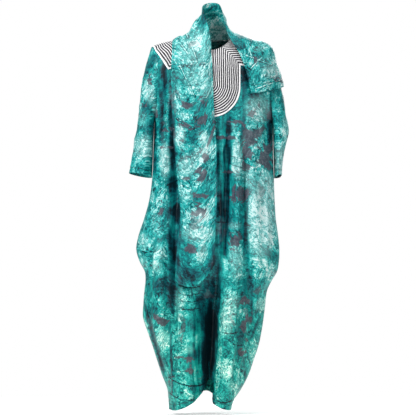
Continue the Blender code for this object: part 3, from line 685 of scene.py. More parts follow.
def wall(name, outer, inner, outward, uv, fields, closed=False, weld=False):
    """A closed thin wall between an outer and an inner grid of points. Outward is 1 where the cross
    product of the grid's lines across and down points out of the cloth, and -1 where it points in. UV
    is in metres of cloth, with one more column than the points where the grid is closed."""
    rows, columns = outer.shape[:2]
    uv_columns = uv.shape[1]
    r, c = np.meshgrid(np.arange(rows - 1), np.arange(columns if closed else columns - 1), indexing="ij")
    r, c = r.ravel(), c.ravel()
    corners = ((r, c), (r, c + 1), (r + 1, c + 1), (r + 1, c))
    layer = rows * columns
    quad = np.stack([a * columns + b % columns for a, b in corners], axis=1)
    quad_uv = np.stack([a * uv_columns + b for a, b in corners], axis=1)

    def rim(edge, edge_uv):
        """Faces from an edge of the outer grid to the same edge of the inner one."""
        faces = np.stack([edge[1:], edge[:-1], edge[:-1] + layer, edge[1:] + layer], axis=1)
        return faces, np.stack([edge_uv[1:], edge_uv[:-1], edge_uv[:-1], edge_uv[1:]], axis=1)

    across = np.arange(columns + 1 if closed else columns)
    down = np.arange(rows)
    rims = [rim(across % columns, across)]
    if not weld:
        edge, edge_uv = (rows - 1) * columns + across % columns, (rows - 1) * uv_columns + across
        rims.append(rim(edge[::-1], edge_uv[::-1]))
    if not closed:
        rims.append(rim((down * columns)[::-1], (down * uv_columns)[::-1]))
        rims.append(rim(down * columns + columns - 1, down * uv_columns + columns - 1))
    faces = np.concatenate([quad, quad[:, ::-1] + layer, *[part[0] for part in rims]])
    faces_uv = np.concatenate([quad_uv, quad_uv[:, ::-1], *[part[1] for part in rims]])
    if outward < 0:
        faces, faces_uv = faces[:, ::-1], faces_uv[:, ::-1]
    mesh = bpy.data.meshes.new(name)
    points = np.concatenate([outer.reshape(-1, 3), inner.reshape(-1, 3)]) * MM
    mesh.from_pydata(points.tolist(), [], faces.tolist())
    layer_uv = mesh.uv_layers.new(name="cloth")
    layer_uv.data.foreach_set("uv", uv.reshape(-1, 2)[faces_uv.ravel()].ravel().astype(np.float32))
    for field, values in fields.items():
        values = np.broadcast_to(values, outer.shape[:2]).ravel()
        attribute = mesh.attributes.new(field, "FLOAT", "POINT")
        attribute.data.foreach_set("value", np.concatenate([values, values]).astype(np.float32))
    if weld:
        shape = bmesh.new()
        shape.from_mesh(mesh)
        bmesh.ops.remove_doubles(shape, verts=shape.verts, dist=0.02 * MM)
        bmesh.ops.dissolve_degenerate(shape, edges=shape.edges, dist=0.001 * MM)
        shape.to_mesh(mesh)
        shape.free()
    mesh.shade_smooth()
    mesh.set_sharp_from_angle(angle=math.radians(70))
    return add_object(name, mesh)


def cloth_wall(name, outer, normals, outward, uv, fields, hem, closed=False):
    """A cloth wall one cloth thick, and thicker inside its hems. Hem is the distance from the nearest
    hemmed edge in widths of that hem."""
    thick = CLOTH + (HEM_CLOTH - CLOTH) * soft_step((1.05 - hem) / 0.1)
    inner = outer - normals * thick[..., None]
    return wall(name, outer, inner, outward, uv, {**fields, "hem": hem}, closed)


# Front and back


def yoke_distance(along, run):
    """How far a point of the front lies outside the yoke's outer edge, down the cloth or across it."""
    bib_foot = BIB_CENTRE_RUN + BIB_FOOT_STRETCH * np.sqrt(np.maximum(BIB_HALF**2 - along**2, 0))
    bib = np.maximum(np.abs(along) - BIB_HALF, run - bib_foot)
    limit = np.interp(np.abs(along), [BIB_HALF, CORNER_RAY[0], EDGE_RAY[0], TIP_RAY[0]], [157, 148, 56, 0])
    return np.minimum(bib, np.where(np.abs(along) > TIP_RAY[0], 60.0, run - limit))


def body_cloth(name, side, columns, seed):
    """Front or back, from the neckline and shoulder seam over the shoulder and down to the hem."""
    neck_run = NECK_FRONT_RUN if side == FRONT else NECK_BACK_RUN
    hem_line = FRONT_HEM if side == FRONT else BACK_HEM
    arm_turns = np.linspace(0, math.pi / 2, ARM_ROWS + 1)
    arm_heights = ROLL_END + (UNDERARM - ROLL_END) * np.sin(arm_turns)
    heights = np.concatenate([arm_heights, np.linspace(UNDERARM, HEM_ZONE_TOP, BODY_ROWS + 1)[1:]])
    share = np.linspace(0, 1, HEM_ROWS + 1)[1:, None]
    low = HEM_ZONE_TOP + (-1300.0 - HEM_ZONE_TOP) * share[:, 0]
    chest = spread_columns(np.array([ROLL_END - 1.0]), side, columns)
    spread = spread_columns(np.concatenate([heights, low]), side, columns)
    spread = blur_rows(np.concatenate([chest, spread]), 5)[1:]
    spread[0] = chest[0]
    x = torso(chest, 0.0, 0.0, side)[..., 0]
    inside = np.clip(1 - (x / (NECK_HALF + NECK_EDGE_TUCK)) ** 2, 0, 1)
    start = math.pi / 2 * (neck_run + NECK_EDGE_TUCK) / ROLL_RUN * np.sqrt(inside)
    roll = np.arange(ROLL_ROWS)[:, None] / ROLL_ROWS
    turns = start + (math.pi / 2 - start) * roll
    top = torso(chest, turns, 0.0, side)
    middle = torso(spread[:len(heights)], math.pi / 2, heights[:, None], side)
    across = spread[len(heights):]
    foot = curve(hem_line["across"], hem_line["height"], across)
    bottom = torso(across, math.pi / 2, HEM_ZONE_TOP + (foot - HEM_ZONE_TOP) * share, side)
    outer = np.concatenate([top, middle, bottom])
    u = running_length(outer, 1)
    u -= np.array([np.interp(0.0, row, line) for row, line in zip(outer[..., 0], u)])[:, None]
    first_run = start * ROLL_RUN / (math.pi / 2)
    v = running_length(outer, 0) + first_run
    side_fade = soft_step(np.minimum(u - u[:, :1], u[:, -1:] - u) / 60)
    if side == FRONT:
        yoke_fade = soft_step((yoke_distance(outer[..., 0], v) - 6) / 70)
    else:
        yoke_fade = soft_step((v - 110) / 80)
    normals = grid_normals(outer) * side
    outer = outer + normals * (crush(u, v, seed) * side_fade * yoke_fade)[..., None]
    outer[..., 1] += side * SEAM_GAP / 2
    normals = grid_normals(outer) * side
    rest = slice(ROLL_ROWS, None)
    for column in (0, -1):
        normals[rest, column, 1] = 0.0
        normals[rest, column] /= np.linalg.norm(normals[rest, column], axis=-1)[:, None]
    hem = (v[-1:] - v) / BODY_HEM
    # How far the cloth has sunk into each fold, for the painted shade in its valleys.
    sunk = np.where(v > ROLL_RUN, -fold_lift(outer[..., 0], outer[..., 2], side), 0)
    fields = dye_fields(outer, 1.0 if side == FRONT else 0.0, sunk)
    uv = np.stack([u, v + (0 if side == FRONT else BACK_PATTERN)], axis=-1) * MM
    return cloth_wall(name, outer, normals, side, uv, fields, hem)


# Sleeves


def sleeve_cloth(name, table, side_x, seed):
    """A sleeve: rings that start as the armhole's curve and turn into ovals down to the open cuff. A
    ring's points are its centre plus cos and sin of the angle times its half-sizes, and it starts and
    ends at the seam under the arm. Its cloth coordinates are the distance in from its outermost line,
    less on the front and more on the back, plus the depth; and the drop."""
    columns = SLEEVE_COLUMNS
    angles = (np.linspace(0, 2 * math.pi, columns + 1)[:-1] + math.pi) % (2 * math.pi)
    front = angles <= math.pi
    rolled = np.where(front, angles, 2 * math.pi - angles)
    turn = np.minimum(rolled, math.pi / 2)
    height = ROLL_END + (UNDERARM - ROLL_END) * np.sin(np.maximum(rolled - math.pi / 2, 0))
    faces_front = torso(side_x, turn, height, FRONT)
    armhole = np.where(front[:, None], faces_front, torso(side_x, turn, height, BACK))
    keys = np.arange(len(table["depth"]), dtype=float)
    at = np.linspace(0, keys[-1], SLEEVE_ROWS)
    size = {key: curve(keys, values, at)[:, None] for key, values in table.items()}
    t = at[:, None] / keys[-1]
    cos, sin = np.cos(angles)[None], np.sin(angles)[None]
    fold = SLEEVE_FOLD * soft_step((t - 0.15) / 0.4) * np.sin(3 * angles + 2.4 * t)
    x = (size["outer_x"] + size["inner_x"]) / 2 + cos * (size["outer_x"] - size["inner_x"]) / 2
    z = (size["outer_z"] + size["inner_z"]) / 2 + cos * (size["outer_z"] - size["inner_z"]) / 2
    z = z - CUFF_BACK_DROP * soft_step((t - 0.6) / 0.4) * (1 - sin) / 2
    y = -sin * (size["depth"] + fold)
    blend = np.clip(curve(keys, ARMHOLE_BLEND, at), 0, 1)[:, None, None]
    outer = armhole * (1 - blend) + np.stack([x, y, z], axis=-1) * blend
    outer[0, :, 0] += side_x * SEAM_GAP
    normals = grid_normals(outer, closed=True) * side_x
    looped = np.concatenate([outer, outer[:, :1]], axis=1)
    outmost = looped[:, columns // 2]
    inward = np.abs(looped[..., 0] - np.interp(-looped[..., 2], -outmost[:, 2], outmost[:, 0]))
    half = np.where(np.arange(columns + 1) < columns // 2, 1.0, -1.0)
    u, v = half * inward + looped[..., 1], -looped[..., 2]
    cuff = running_length(looped[-1:] * [1, 1, 0], 1)
    run = running_length(outer, 0)
    seam = np.minimum(cuff, cuff[:, -1:] - cuff)[:, :-1]
    fade = soft_step(run / 50) * soft_step(seam / 40)
    outer = outer + normals * (0.8 * crush(u[:, :-1], v[:, :-1], seed) * fade)[..., None]
    normals = grid_normals(outer, closed=True) * side_x
    normals[0, :, 0] = 0.0
    normals[0] /= np.linalg.norm(normals[0], axis=-1)[:, None]
    hem = (run[-1:] - run) / CUFF_HEM
    fields = dye_fields(outer, soft_step(0.5 - outer[..., 1] / 40))
    uv = np.stack([u, v + SLEEVE_PATTERN + SLEEVE_PATTERN_STEP * side_x], axis=-1) * MM
    return cloth_wall(name, outer, normals, side_x, uv, fields, hem, closed=True)


# The corded yoke


def lay(along, run, side):
    """Point on the dress at a distance along from the middle and a run down from the shoulder seam: the
    angle of the roll is found by going round its arc's length six times."""
    along, run = np.broadcast_arrays(np.asarray(along, float), np.asarray(run, float))
    turn = np.full(along.shape, math.pi / 4)
    height = np.full(along.shape, ROLL_END)
    name = "front" if side == FRONT else "back"
    for _ in range(6):
        out = np.sin(turn)
        left = -TIP + (section_at(height, "left") + TIP) * out
        right = TIP + (section_at(height, "right") - TIP) * out
        across = np.clip((along - (left + right) / 2) / ((right - left) / 2), -1, 1)
        level = np.full(along.shape, ROLL_END)
        deep = section_depth(across, level, ARMHOLE_DEPTH, section_at(level, name))
        fall = shoulder_line(along) - ROLL_END
        quarter = math.pi / 2 * np.sqrt((deep**2 + fall**2) / 2)
        turn = math.pi / 2 * np.clip(run / quarter, 0, 1)
        height = ROLL_END - np.maximum(run - quarter, 0)
    return torso(across, turn, height, side)


def lay_normals(along, run, side):
    """Outward normals of the dress under the yoke, from small steps along and down it."""
    step = 1.0
    east = lay(along + step, run, side) - lay(along - step, run, side)
    south = lay(along, run + step, side) - lay(along, np.maximum(run - step, 0), side)
    normals = np.cross(east, south) * side
    return normals / np.linalg.norm(normals, axis=-1)[..., None]


def neck_run_at(along):
    """Run of the front neckline, a half ellipse, at a distance from the middle line."""
    return NECK_FRONT_RUN * np.sqrt(np.clip(1 - (along / NECK_HALF) ** 2, 0, 1))


def neck_point(run):
    """Point of the front neckline at a run down from the shoulder seam."""
    along = NECK_HALF * np.sqrt(1 - np.minimum(run / NECK_FRONT_RUN, 1.0) ** 2)
    return np.stack([along, run], axis=-1)


def ray_points(ray, inward):
    along, run, along_step, run_step = ray
    return np.stack([along + along_step * inward, run + run_step * inward], axis=-1)


def shoulder_grid(rows, columns):
    """Cord rows of one shoulder: each goes from the seam by two corners to the mitre or the neckline.
    The last rows close in on the neckline in equal steps."""
    row = np.linspace(0, SHOULDER_ROWS, rows)
    inward = np.minimum(row, SHOULDER_STRAIGHT_ROWS) * CORD_ROW
    tip, edge, corner, mitre = (ray_points(ray, inward) for ray in (TIP_RAY, EDGE_RAY, CORNER_RAY, MITRE_RAY))
    on_mitre = mitre[:, 1] > neck_run_at(mitre[:, 0])
    end = np.where(on_mitre[:, None], mitre + [1.4 * SEAM_GAP, 0], neck_point(mitre[:, 1]))
    c = np.linspace(0, 3, columns)[None, :, None]
    tip, edge, corner, end = tip[:, None], edge[:, None], corner[:, None], end[:, None]
    flat = np.where(c < 1, tip + (edge - tip) * c, edge + (corner - edge) * (c - 1))
    flat = np.where(c < 2, flat, corner + (end - corner) * (c - 2))
    straight = row <= SHOULDER_STRAIGHT_ROWS
    last = flat[straight][-1]
    neck = neck_point(np.linspace(0, NECK_SHARE * last[-1, 1], columns))
    closing = np.clip((row - SHOULDER_STRAIGHT_ROWS) / (SHOULDER_ROWS - SHOULDER_STRAIGHT_ROWS), 0, 1)
    closing = closing[:, None, None]
    flat = np.where(closing > 0, last + (neck - last) * closing, flat)
    return flat, np.broadcast_to(row[:, None], (rows, columns))


def bib_grid(rows, columns):
    """Cord rows of the bib: down one side, round a half ellipse and up the other side."""
    row = np.linspace(0, BIB_ROWS, rows)[:, None]
    half = BIB_HALF * (1 - row / BIB_ROWS)
    start = np.maximum(MITRE_RAY[1] - (BIB_HALF - half), neck_run_at(half))
    c = np.linspace(0, 1, columns)[None]
    leg = np.clip(np.minimum(c, 1 - c) / 0.3, 0, 1)
    turn = math.pi * np.clip((c - 0.3) / 0.4, 0, 1)
    foot = BIB_CENTRE_RUN + BIB_FOOT_STRETCH * half * np.sin(turn)
    run = np.where(leg < 1, start + (BIB_CENTRE_RUN - start) * leg, foot)
    return np.stack([half * np.cos(turn), run], axis=-1), np.broadcast_to(row, (rows, columns))


def back_yoke_grid(rows, columns):
    """The back's crescent between two half ellipses. Its cords keep their pitch from the outer edge, so
    a point's row is the inset of the ellipse that passes through it, found by halving."""
    turn = np.linspace(0, math.pi, columns)[None]
    share = np.linspace(0, 1, rows)[:, None]
    along = (TIP_RAY[0] + (NECK_HALF - TIP_RAY[0]) * share) * np.cos(turn)
    run = (YOKE_BACK_RUN + (NECK_BACK_RUN - YOKE_BACK_RUN) * share) * np.sin(turn)
    low, high = np.zeros(along.shape), np.full(along.shape, YOKE_BACK_RUN - 1.0)
    for _ in range(24):
        inset = (low + high) / 2
        outside = (along / (TIP_RAY[0] - inset)) ** 2 + (run / (YOKE_BACK_RUN - inset)) ** 2 > 1
        low, high = np.where(outside, low, inset), np.where(outside, inset, high)
    return np.stack([along, run], axis=-1), inset / CORD_ROW


def cord_height(row):
    """Height of the laid cords: half-round white cords on the odd rows and lower black ones between."""
    white = np.abs((np.maximum(row, 1.0) - 1.0) % 2.0)
    white = np.minimum(white, 2.0 - white)
    high = WHITE_CORD * np.sqrt(np.clip(1 - (white / 0.56) ** 2, 0, 1))
    return np.maximum(high, BLACK_CORD * np.sqrt(np.clip(1 - ((1 - white) / 0.56) ** 2, 0, 1)))


def yoke_piece(name, flat, row, side, mirror, outward, weld=False):
    """A yoke piece laid on the dress: its top follows the cords and its underside the cloth below."""
    along, run = flat[..., 0] * mirror, flat[..., 1]
    ground = lay(along, run, side)
    normals = lay_normals(along, run, side)
    seam = run < 0.01
    normals[seam, 1] = 0.0
    normals[seam] /= np.linalg.norm(normals[seam], axis=-1)[:, None]
    ground[..., 1] += side * SEAM_GAP / 2
    inner = ground + normals * YOKE_UNDERSIDE
    wander = 0.17 * np.sin(along / 9 + run / 23) + 0.12 * np.sin(run / 7 - along / 31)
    row = np.maximum(row + wander * np.minimum(row / 2, 1), 0)
    outer = ground + normals * (YOKE_TOP + cord_height(row))[..., None]
    uv = np.stack([running_length(inner, 1) * MM, row * CORD_ROW * MM], axis=-1)
    return wall(name, outer, inner, outward, uv, {"cord": row}, weld=weld)


# The stole


def crease_distance(x, z, x0, z0, x1, z1):
    """Distance from a straight line between two places."""
    dx, dz = x1 - x0, z1 - z0
    t = np.clip(((x - x0) * dx + (z - z0) * dz) / (dx * dx + dz * dz), 0, 1)
    return np.hypot(x - x0 - t * dx, z - z0 - t * dz)


def crease_lift(x, z):
    """Height of the pressed creases: a bell across each line."""
    total = np.zeros(x.shape)
    for *line, width, lift in CREASES:
        total += 1.4 * lift * np.exp(-((crease_distance(x, z, *line) / width) ** 2))
    return total


def crease_field(x, z):
    """A ridge of value 1 on each crease that falls to 0 at 10 mm from it, for the painted highlight on each
    crease and the painted shade beside it.
    """
    nearest = np.full(x.shape, 10.0)
    for *line, _, _ in CREASES:
        nearest = np.minimum(nearest, crease_distance(x, z, *line))
    return 1 - nearest / 10


def stole_points():
    """The whole stole: parabolas through the three points of each station, smooth curves along them,
    three ripples across it, pressed creases and crumples."""
    keys = np.arange(len(STOLE["ix"]), dtype=float)
    at = np.linspace(0, keys[-1], STOLE_ROWS)
    track = {name: curve(keys, values, at) for name, values in STOLE.items()}
    inner, middle, outer = (
        np.stack([track[edge + axis] for axis in "xyz"], axis=1)[:, None] for edge in "imo"
    )
    t = np.linspace(0, 1, STOLE_COLUMNS)[None, :, None]
    points = inner * (1 - t) * (1 - 2 * t) + middle * 4 * t * (1 - t) + outer * t * (2 * t - 1)
    lift = curve(FALL_HEM["across"], FALL_HEM["lift"], t[0, :, 0])
    points[..., 2] += np.maximum(1 - at[:, None] / 1.4, 0) ** 1.5 * lift[None, :]
    wave = np.sin(2 * math.pi * (2.6 * t[..., 0] + 0.11 * at[:, None]))
    gathered = 0.35 + 0.65 * np.exp(-(((at[:, None] - 12) / 4.5) ** 2))
    points = points - grid_normals(points) * (STOLE_RIPPLE * gathered * wave)[..., None]
    u, v = running_length(points, 1), running_length(points, 0)
    small = crush(u, v, 21, (150, 90, 56, 34, 22)) * 0.75
    small = small * (0.4 + 0.6 * soft_step((-20 - points[..., 2]) / 60))
    creases = crease_lift(points[..., 0], points[..., 2]) * soft_step(0.5 - points[..., 1] / 40)
    return points - grid_normals(points) * (small + creases)[..., None]


def bare_mesh(name, points, faces):
    """A plain mesh that is used while the stole is laid and then removed."""
    mesh = bpy.data.meshes.new(name)
    mesh.from_pydata((points * MM).tolist(), [], faces.tolist())
    return add_object(name, mesh)


def outer_faces(piece):
    """The outer half of a wall's points, in millimetres, and the faces that use only those."""
    mesh = piece.data
    points = np.empty(len(mesh.vertices) * 3, np.float32)
    mesh.vertices.foreach_get("co", points)
    loops = np.empty(len(mesh.loops), np.int32)
    mesh.loops.foreach_get("vertex_index", loops)
    count = len(mesh.vertices) // 2
    faces = loops.reshape(-1, 4)
    return points.reshape(-1, 3) / MM, faces[(faces < count).all(axis=1)]


def spread_lift(lift, reach):
    """A lift that rises to each of its peaks over its neighbours within reach, and smoothly beyond."""
    wide = lift
    for _ in range(reach):
        wide = np.maximum(wide, np.maximum(np.roll(wide, 1, 0), np.roll(wide, -1, 0)))
        wide = np.maximum(wide, np.maximum(np.roll(wide, 1, 1), np.roll(wide, -1, 1)))
    for _ in range(2):
        wide = blur_rows(blur_rows(wide, reach).T, reach).T
    return np.maximum(wide, lift)


def laid_on(points, below, clearance):
    """A sheet lifted along its own outward normals until it lies clear of the pieces below it."""
    rows, columns = points.shape[:2]
    r, c = np.meshgrid(np.arange(rows - 1), np.arange(columns - 1), indexing="ij")
    first = (r * columns + c).ravel()
    faces = np.stack([first, first + columns, first + columns + 1, first + 1], axis=1)
    parts, start, stack = [], 0, []
    for piece in below:
        part_points, part_faces = outer_faces(piece)
        stack.append(part_points)
        parts.append(part_faces + start)
        start += len(part_points)
    ground = bare_mesh("ground", np.concatenate(stack), np.concatenate(parts))
    for _ in range(3):
        sheet = bare_mesh("sheet", points.reshape(-1, 3), faces)
        wrap = sheet.modifiers.new("clear", "SHRINKWRAP")
        wrap.target = ground
        wrap.wrap_method = "NEAREST_SURFACEPOINT"
        wrap.wrap_mode = "OUTSIDE"
        wrap.offset = clearance * MM
        evaluated = sheet.evaluated_get(bpy.context.evaluated_depsgraph_get())
        moved = np.empty(rows * columns * 3, np.float32)
        evaluated.to_mesh().vertices.foreach_get("co", moved)
        evaluated.to_mesh_clear()
        bpy.data.objects.remove(sheet, do_unlink=True)
        moves = moved.reshape(rows, columns, 3) / MM - points
        normals = -grid_normals(points)
        need = (moves * normals).sum(axis=2)
        away = np.linalg.norm(moves, axis=2)
        need[(need < 0.02) | (need < 0.6 * away) | (away > 24)] = 0.0
        points = points + normals * spread_lift(need, 4)[..., None]
    bpy.data.objects.remove(ground, do_unlink=True)
    return points


def stole_cloth(name, below):
    points = laid_on(stole_points(), below, STOLE_CLEARANCE)
    u, v = running_length(points, 1), running_length(points, 0)
    ends = np.minimum(v, v[-1:] - v) / STOLE_END_HEM
    sides = np.minimum(u, u[:, -1:] - u) / STOLE_SIDE_HEM
    fields = dye_fields(points, soft_step(1.1 - points[..., 1] / 50))
    fields["crease"] = crease_field(points[..., 0], points[..., 2]) * soft_step(0.5 - points[..., 1] / 40)
    uv = np.stack([u, v + STOLE_PATTERN], axis=-1) * MM
    return cloth_wall(name, points, -grid_normals(points), -1, uv, fields, np.minimum(ends, sides))


# Materials


def feed(tree, node, inputs):
    """Sets a node's inputs: each takes a number, a colour or another node's output."""
    for key, value in inputs.items():
        if isinstance(value, bpy.types.NodeSocket):
            tree.links.new(value, node.inputs[key])
        else:
            node.inputs[key].default_value = value


def place(tree, kind, inputs=None, **settings):
    """A node with its settings and its inputs."""
    node = tree.nodes.new(kind)
    for key, value in settings.items():
        setattr(node, key, value)
    feed(tree, node, inputs or {})
    return node


def math_of(tree, operation, *values):
    return place(tree, "ShaderNodeMath", dict(enumerate(values)), operation=operation).outputs[0]


def times(tree, first, second):
    return math_of(tree, "MULTIPLY", first, second)


def minus(tree, first, second):
    return math_of(tree, "SUBTRACT", first, second)


def times_plus(tree, value, weight, base):
    return math_of(tree, "MULTIPLY_ADD", value, weight, base)


def vector_of(tree, operation, *values):
    node = place(tree, "ShaderNodeVectorMath", dict(enumerate(values)), operation=operation)
    return node.outputs["Vector"]


def scaled(tree, vector, scale):
    return vector_of(tree, "MULTIPLY", vector, scale)


def split_of(tree, vector):
    """The three parts of a vector."""
    return place(tree, "ShaderNodeSeparateXYZ", {0: vector}).outputs


def cells_of(tree, vector, scale, feature="F1"):
    return place(tree, "ShaderNodeTexVoronoi", {"Vector": vector, "Scale": scale}, feature=feature).outputs


def chances_of(tree, cells):
    """Three random numbers for each cell, from its colour."""
    return place(tree, "ShaderNodeSeparateColor", {0: cells["Color"]}).outputs


def object_place(tree):
    return place(tree, "ShaderNodeTexCoord").outputs["Object"]


def cloth_place(tree):
    return place(tree, "ShaderNodeUVMap", uv_map="cloth").outputs["UV"]


def band(tree, value, low, high, to_low=0.0, to_high=1.0):
    """A value taken smoothly from one range to another."""
    ends = {"Value": value, "From Min": low, "From Max": high, "To Min": to_low, "To Max": to_high}
    return place(tree, "ShaderNodeMapRange", ends, interpolation_type="SMOOTHSTEP").outputs["Result"]


def noise_of(tree, vector, scale, detail, roughness=0.5, output="Fac"):
    inputs = {"Vector": vector, "Scale": scale, "Detail": detail, "Roughness": roughness}
    return place(tree, "ShaderNodeTexNoise", inputs, noise_dimensions="3D").outputs[output]


def colour_mix(tree, factor, first, second, blend_type="MIX"):
    inputs = {0: factor, 6: first, 7: second}
    return place(tree, "ShaderNodeMix", inputs, data_type="RGBA", blend_type=blend_type).outputs[2]


def new_group(name, inputs, outputs):
    """An empty node group with named sockets, and its input and output nodes."""
    group = bpy.data.node_groups.new(name, "ShaderNodeTree")
    for socket, kind in inputs.items():
        group.interface.new_socket(name=socket, in_out="INPUT", socket_type="NodeSocket" + kind)
    for socket, kind in outputs.items():
        group.interface.new_socket(name=socket, in_out="OUTPUT", socket_type="NodeSocket" + kind)
    return group, group.nodes.new("NodeGroupInput"), group.nodes.new("NodeGroupOutput")


DYE_STOPS = (
    (0.00, (0.0003, 0.011, 0.018)),
    (0.14, (0.0004, 0.058, 0.082)),
    (0.28, (0.0006, 0.134, 0.152)),
    (0.42, (0.0012, 0.235, 0.232)),
    (0.56, (0.0060, 0.360, 0.345)),
    (0.70, (0.0540, 0.510, 0.490)),
    (0.84, (0.2700, 0.660, 0.640)),
    (1.00, (0.6600, 0.860, 0.850)),
)
CELL_SCALE = 12.5
SLATE_DARK = (0.050, 0.052, 0.074, 1)
SLATE_LIGHT = (0.125, 0.125, 0.160, 1)


def vein_of(group, cloth, scale, width):
    """Thin wandering veins, where a noise passes through its middle value."""
    level = math_of(group, "ABSOLUTE", minus(group, noise_of(group, cloth, scale, 4.0, 0.65), 0.5))
    return band(group, level, 0.0, width, 1.0, 0.0)


def dye_group():
    """Hand-dyed crackle. Cloth cells of random tone and clouds set the tone, and over them lie feathered
    streaks in patches of one direction each, stars of streaks round points, chips, mottles and dark
    cracks, all stronger where the cloth is pale. Streaked places run upright and smooth instead. A ramp
    turns the tone into dye colours, and slate patches with angular edges lie over it."""
    inputs = {"Cloth": "Vector", **dict.fromkeys(("Pale", "Slate", "Deep", "Line", "Streak"), "Float")}
    group, given, out = new_group("crackled_dye", inputs, {"Color": "Color", "Relief": "Float"})
    cloth, pale, slate, deep, line, streak = (given.outputs[name] for name in inputs)
    wobble = noise_of(group, cloth, 16.0, 2.0, 0.5, "Color")
    wobble = vector_of(group, "SUBTRACT", wobble, (0.5, 0.5, 0.5))
    warped = vector_of(group, "ADD", cloth, scaled(group, wobble, (0.05, 0.05, 0.0)))
    fine = noise_of(group, cloth, 90.0, 2.0, 0.6, "Color")
    fine = vector_of(group, "SUBTRACT", fine, (0.5, 0.5, 0.5))
    torn = vector_of(group, "ADD", warped, scaled(group, fine, (0.014, 0.014, 0.0)))
    cells = cells_of(group, torn, CELL_SCALE)
    chance = chances_of(group, cells)
    rims = cells_of(group, torn, CELL_SCALE, "DISTANCE_TO_EDGE")
    inside = band(group, rims["Distance"], 0.0, 0.24)
    cell_tone = times(group, minus(group, chance[0], 0.42), inside)
    turn = times(group, chance[0], 6.283)
    turned = place(group, "ShaderNodeVectorRotate", {"Vector": torn, "Angle": turn}, rotation_type="Z_AXIS")
    turned = turned.outputs[0]
    feather = noise_of(group, scaled(group, turned, (180.0, 80.0, 1.0)), 1.0, 3.0, 0.65)
    spokes = vector_of(group, "SUBTRACT", torn, cells["Position"])
    spokes = scaled(group, vector_of(group, "NORMALIZE", spokes), (3.4, 3.4, 0.0))
    depth = times_plus(group, cells["Distance"], 2.4, times(group, turn, 9.0))
    spokes = vector_of(group, "ADD", spokes, place(group, "ShaderNodeCombineXYZ", {2: depth}).outputs[0])
    star = noise_of(group, spokes, 2.2, 3.0, 0.65)
    choice = band(group, chance[1], 0.55, 0.65)
    frost = place(group, "ShaderNodeMix", {0: choice, 2: feather, 3: star}, data_type="FLOAT").outputs[0]
    frost = band(group, frost, 0.36, 0.64)
    slivers = scaled(group, turned, (1.0, 0.55, 1.0))
    facet = chances_of(group, cells_of(group, slivers, 60.0))[0]
    chip = chances_of(group, cells_of(group, torn, 125.0))[0]
    crack = cells_of(group, torn, 46.0, "DISTANCE_TO_EDGE")["Distance"]
    crack = band(group, crack, 0.0, 0.13, 1.0, 0.0)
    dark_vein = vein_of(group, warped, 30.0, 0.030)
    light_vein = vein_of(group, vector_of(group, "ADD", warped, (3.0, 7.0, 0.0)), 26.0, 0.024)
    broken = band(group, noise_of(group, cloth, 34.0, 2.0), 0.44, 0.58)
    cloud = noise_of(group, warped, 10.0, 3.0, 0.55)
    mottle = noise_of(group, torn, 150.0, 2.0, 0.6)
    cloudy = times_plus(group, pale, -0.50, 1.15)
    base = times_plus(group, cloud, cloudy, -0.10)
    base = times_plus(group, cell_tone, 0.42, base)
    base = times_plus(group, pale, 0.60, base)
    # Deep darkens the tone: painted shade in folds and recesses on the front, and darker dye at random on the
    # back.
    base = times_plus(group, deep, -0.46, base)
    share = band(group, base, 0.25, 0.75, 0.45, 1.0)
    share = times(group, share, times_plus(group, streak, -0.72, 1.0))
    parts = ((frost, 0.26), (facet, 0.22), (chip, 0.24), (mottle, 0.54))
    detail = 0.0
    for part, weight in parts:
        detail = times_plus(group, minus(group, part, 0.5), weight, detail)
    cracks = times(group, crack, band(group, broken, 0.0, 1.0, 0.12, -0.36))
    detail = math_of(group, "ADD", detail, cracks)
    detail = times_plus(group, dark_vein, -0.46, detail)
    detail = times_plus(group, light_vein, 0.26, detail)
    tone = times_plus(group, detail, share, base)
    upright = noise_of(group, scaled(group, cloth, (62.0, 5.0, 1.0)), 1.0, 3.0, 0.6)
    rungs = noise_of(group, scaled(group, cloth, (9.0, 46.0, 1.0)), 1.0, 2.0, 0.5)
    upright = times_plus(group, minus(group, upright, 0.5), 1.5, times_plus(group, rungs, 0.5, -0.25))
    tone = times_plus(group, upright, streak, tone)
    # Line darkens the tone along the painted shade lines of the front's folds; on the stole it lightens it as
    # a painted highlight on each crease, with painted shade beside it.
    tone = times_plus(group, line, -0.55, tone)
    tone = math_of(group, "MAXIMUM", math_of(group, "MINIMUM", tone, 1.0), 0.0)
    ramp = place(group, "ShaderNodeValToRGB", {0: tone})
    stops = ramp.color_ramp.elements
    while len(stops) < len(DYE_STOPS):
        stops.new(0.5)
    for stop, (position, colour) in zip(stops, DYE_STOPS):
        stop.position = position
        stop.color = (*colour, 1.0)
    shard = chances_of(group, cells_of(group, slivers, 40.0))[1]
    patch = times_plus(group, minus(group, shard, 0.5), 0.75, slate)
    patch = times_plus(group, minus(group, mottle, 0.5), 0.55, patch)
    patch = band(group, patch, 0.42, 0.52)
    spot = times(group, band(group, chance[2], 0.86, 0.90), band(group, cloud, 0.5, 0.56))
    spot = times(group, spot, band(group, shard, 0.5, 0.56))
    patch = math_of(group, "MAXIMUM", patch, times(group, spot, 0.6))
    patch = times(group, patch, band(group, mottle, 0.25, 0.45, 0.6, 0.93))
    grey = colour_mix(group, times(group, frost, chip), SLATE_DARK, SLATE_LIGHT)
    colour = colour_mix(group, patch, ramp.outputs["Color"], grey)
    feed(group, out, {"Color": colour, "Relief": tone})
    return group


LINE_INPUTS = ("X", "Z", "Middle X", "Middle Z", "Half", "Sag", "Width", "Slope")


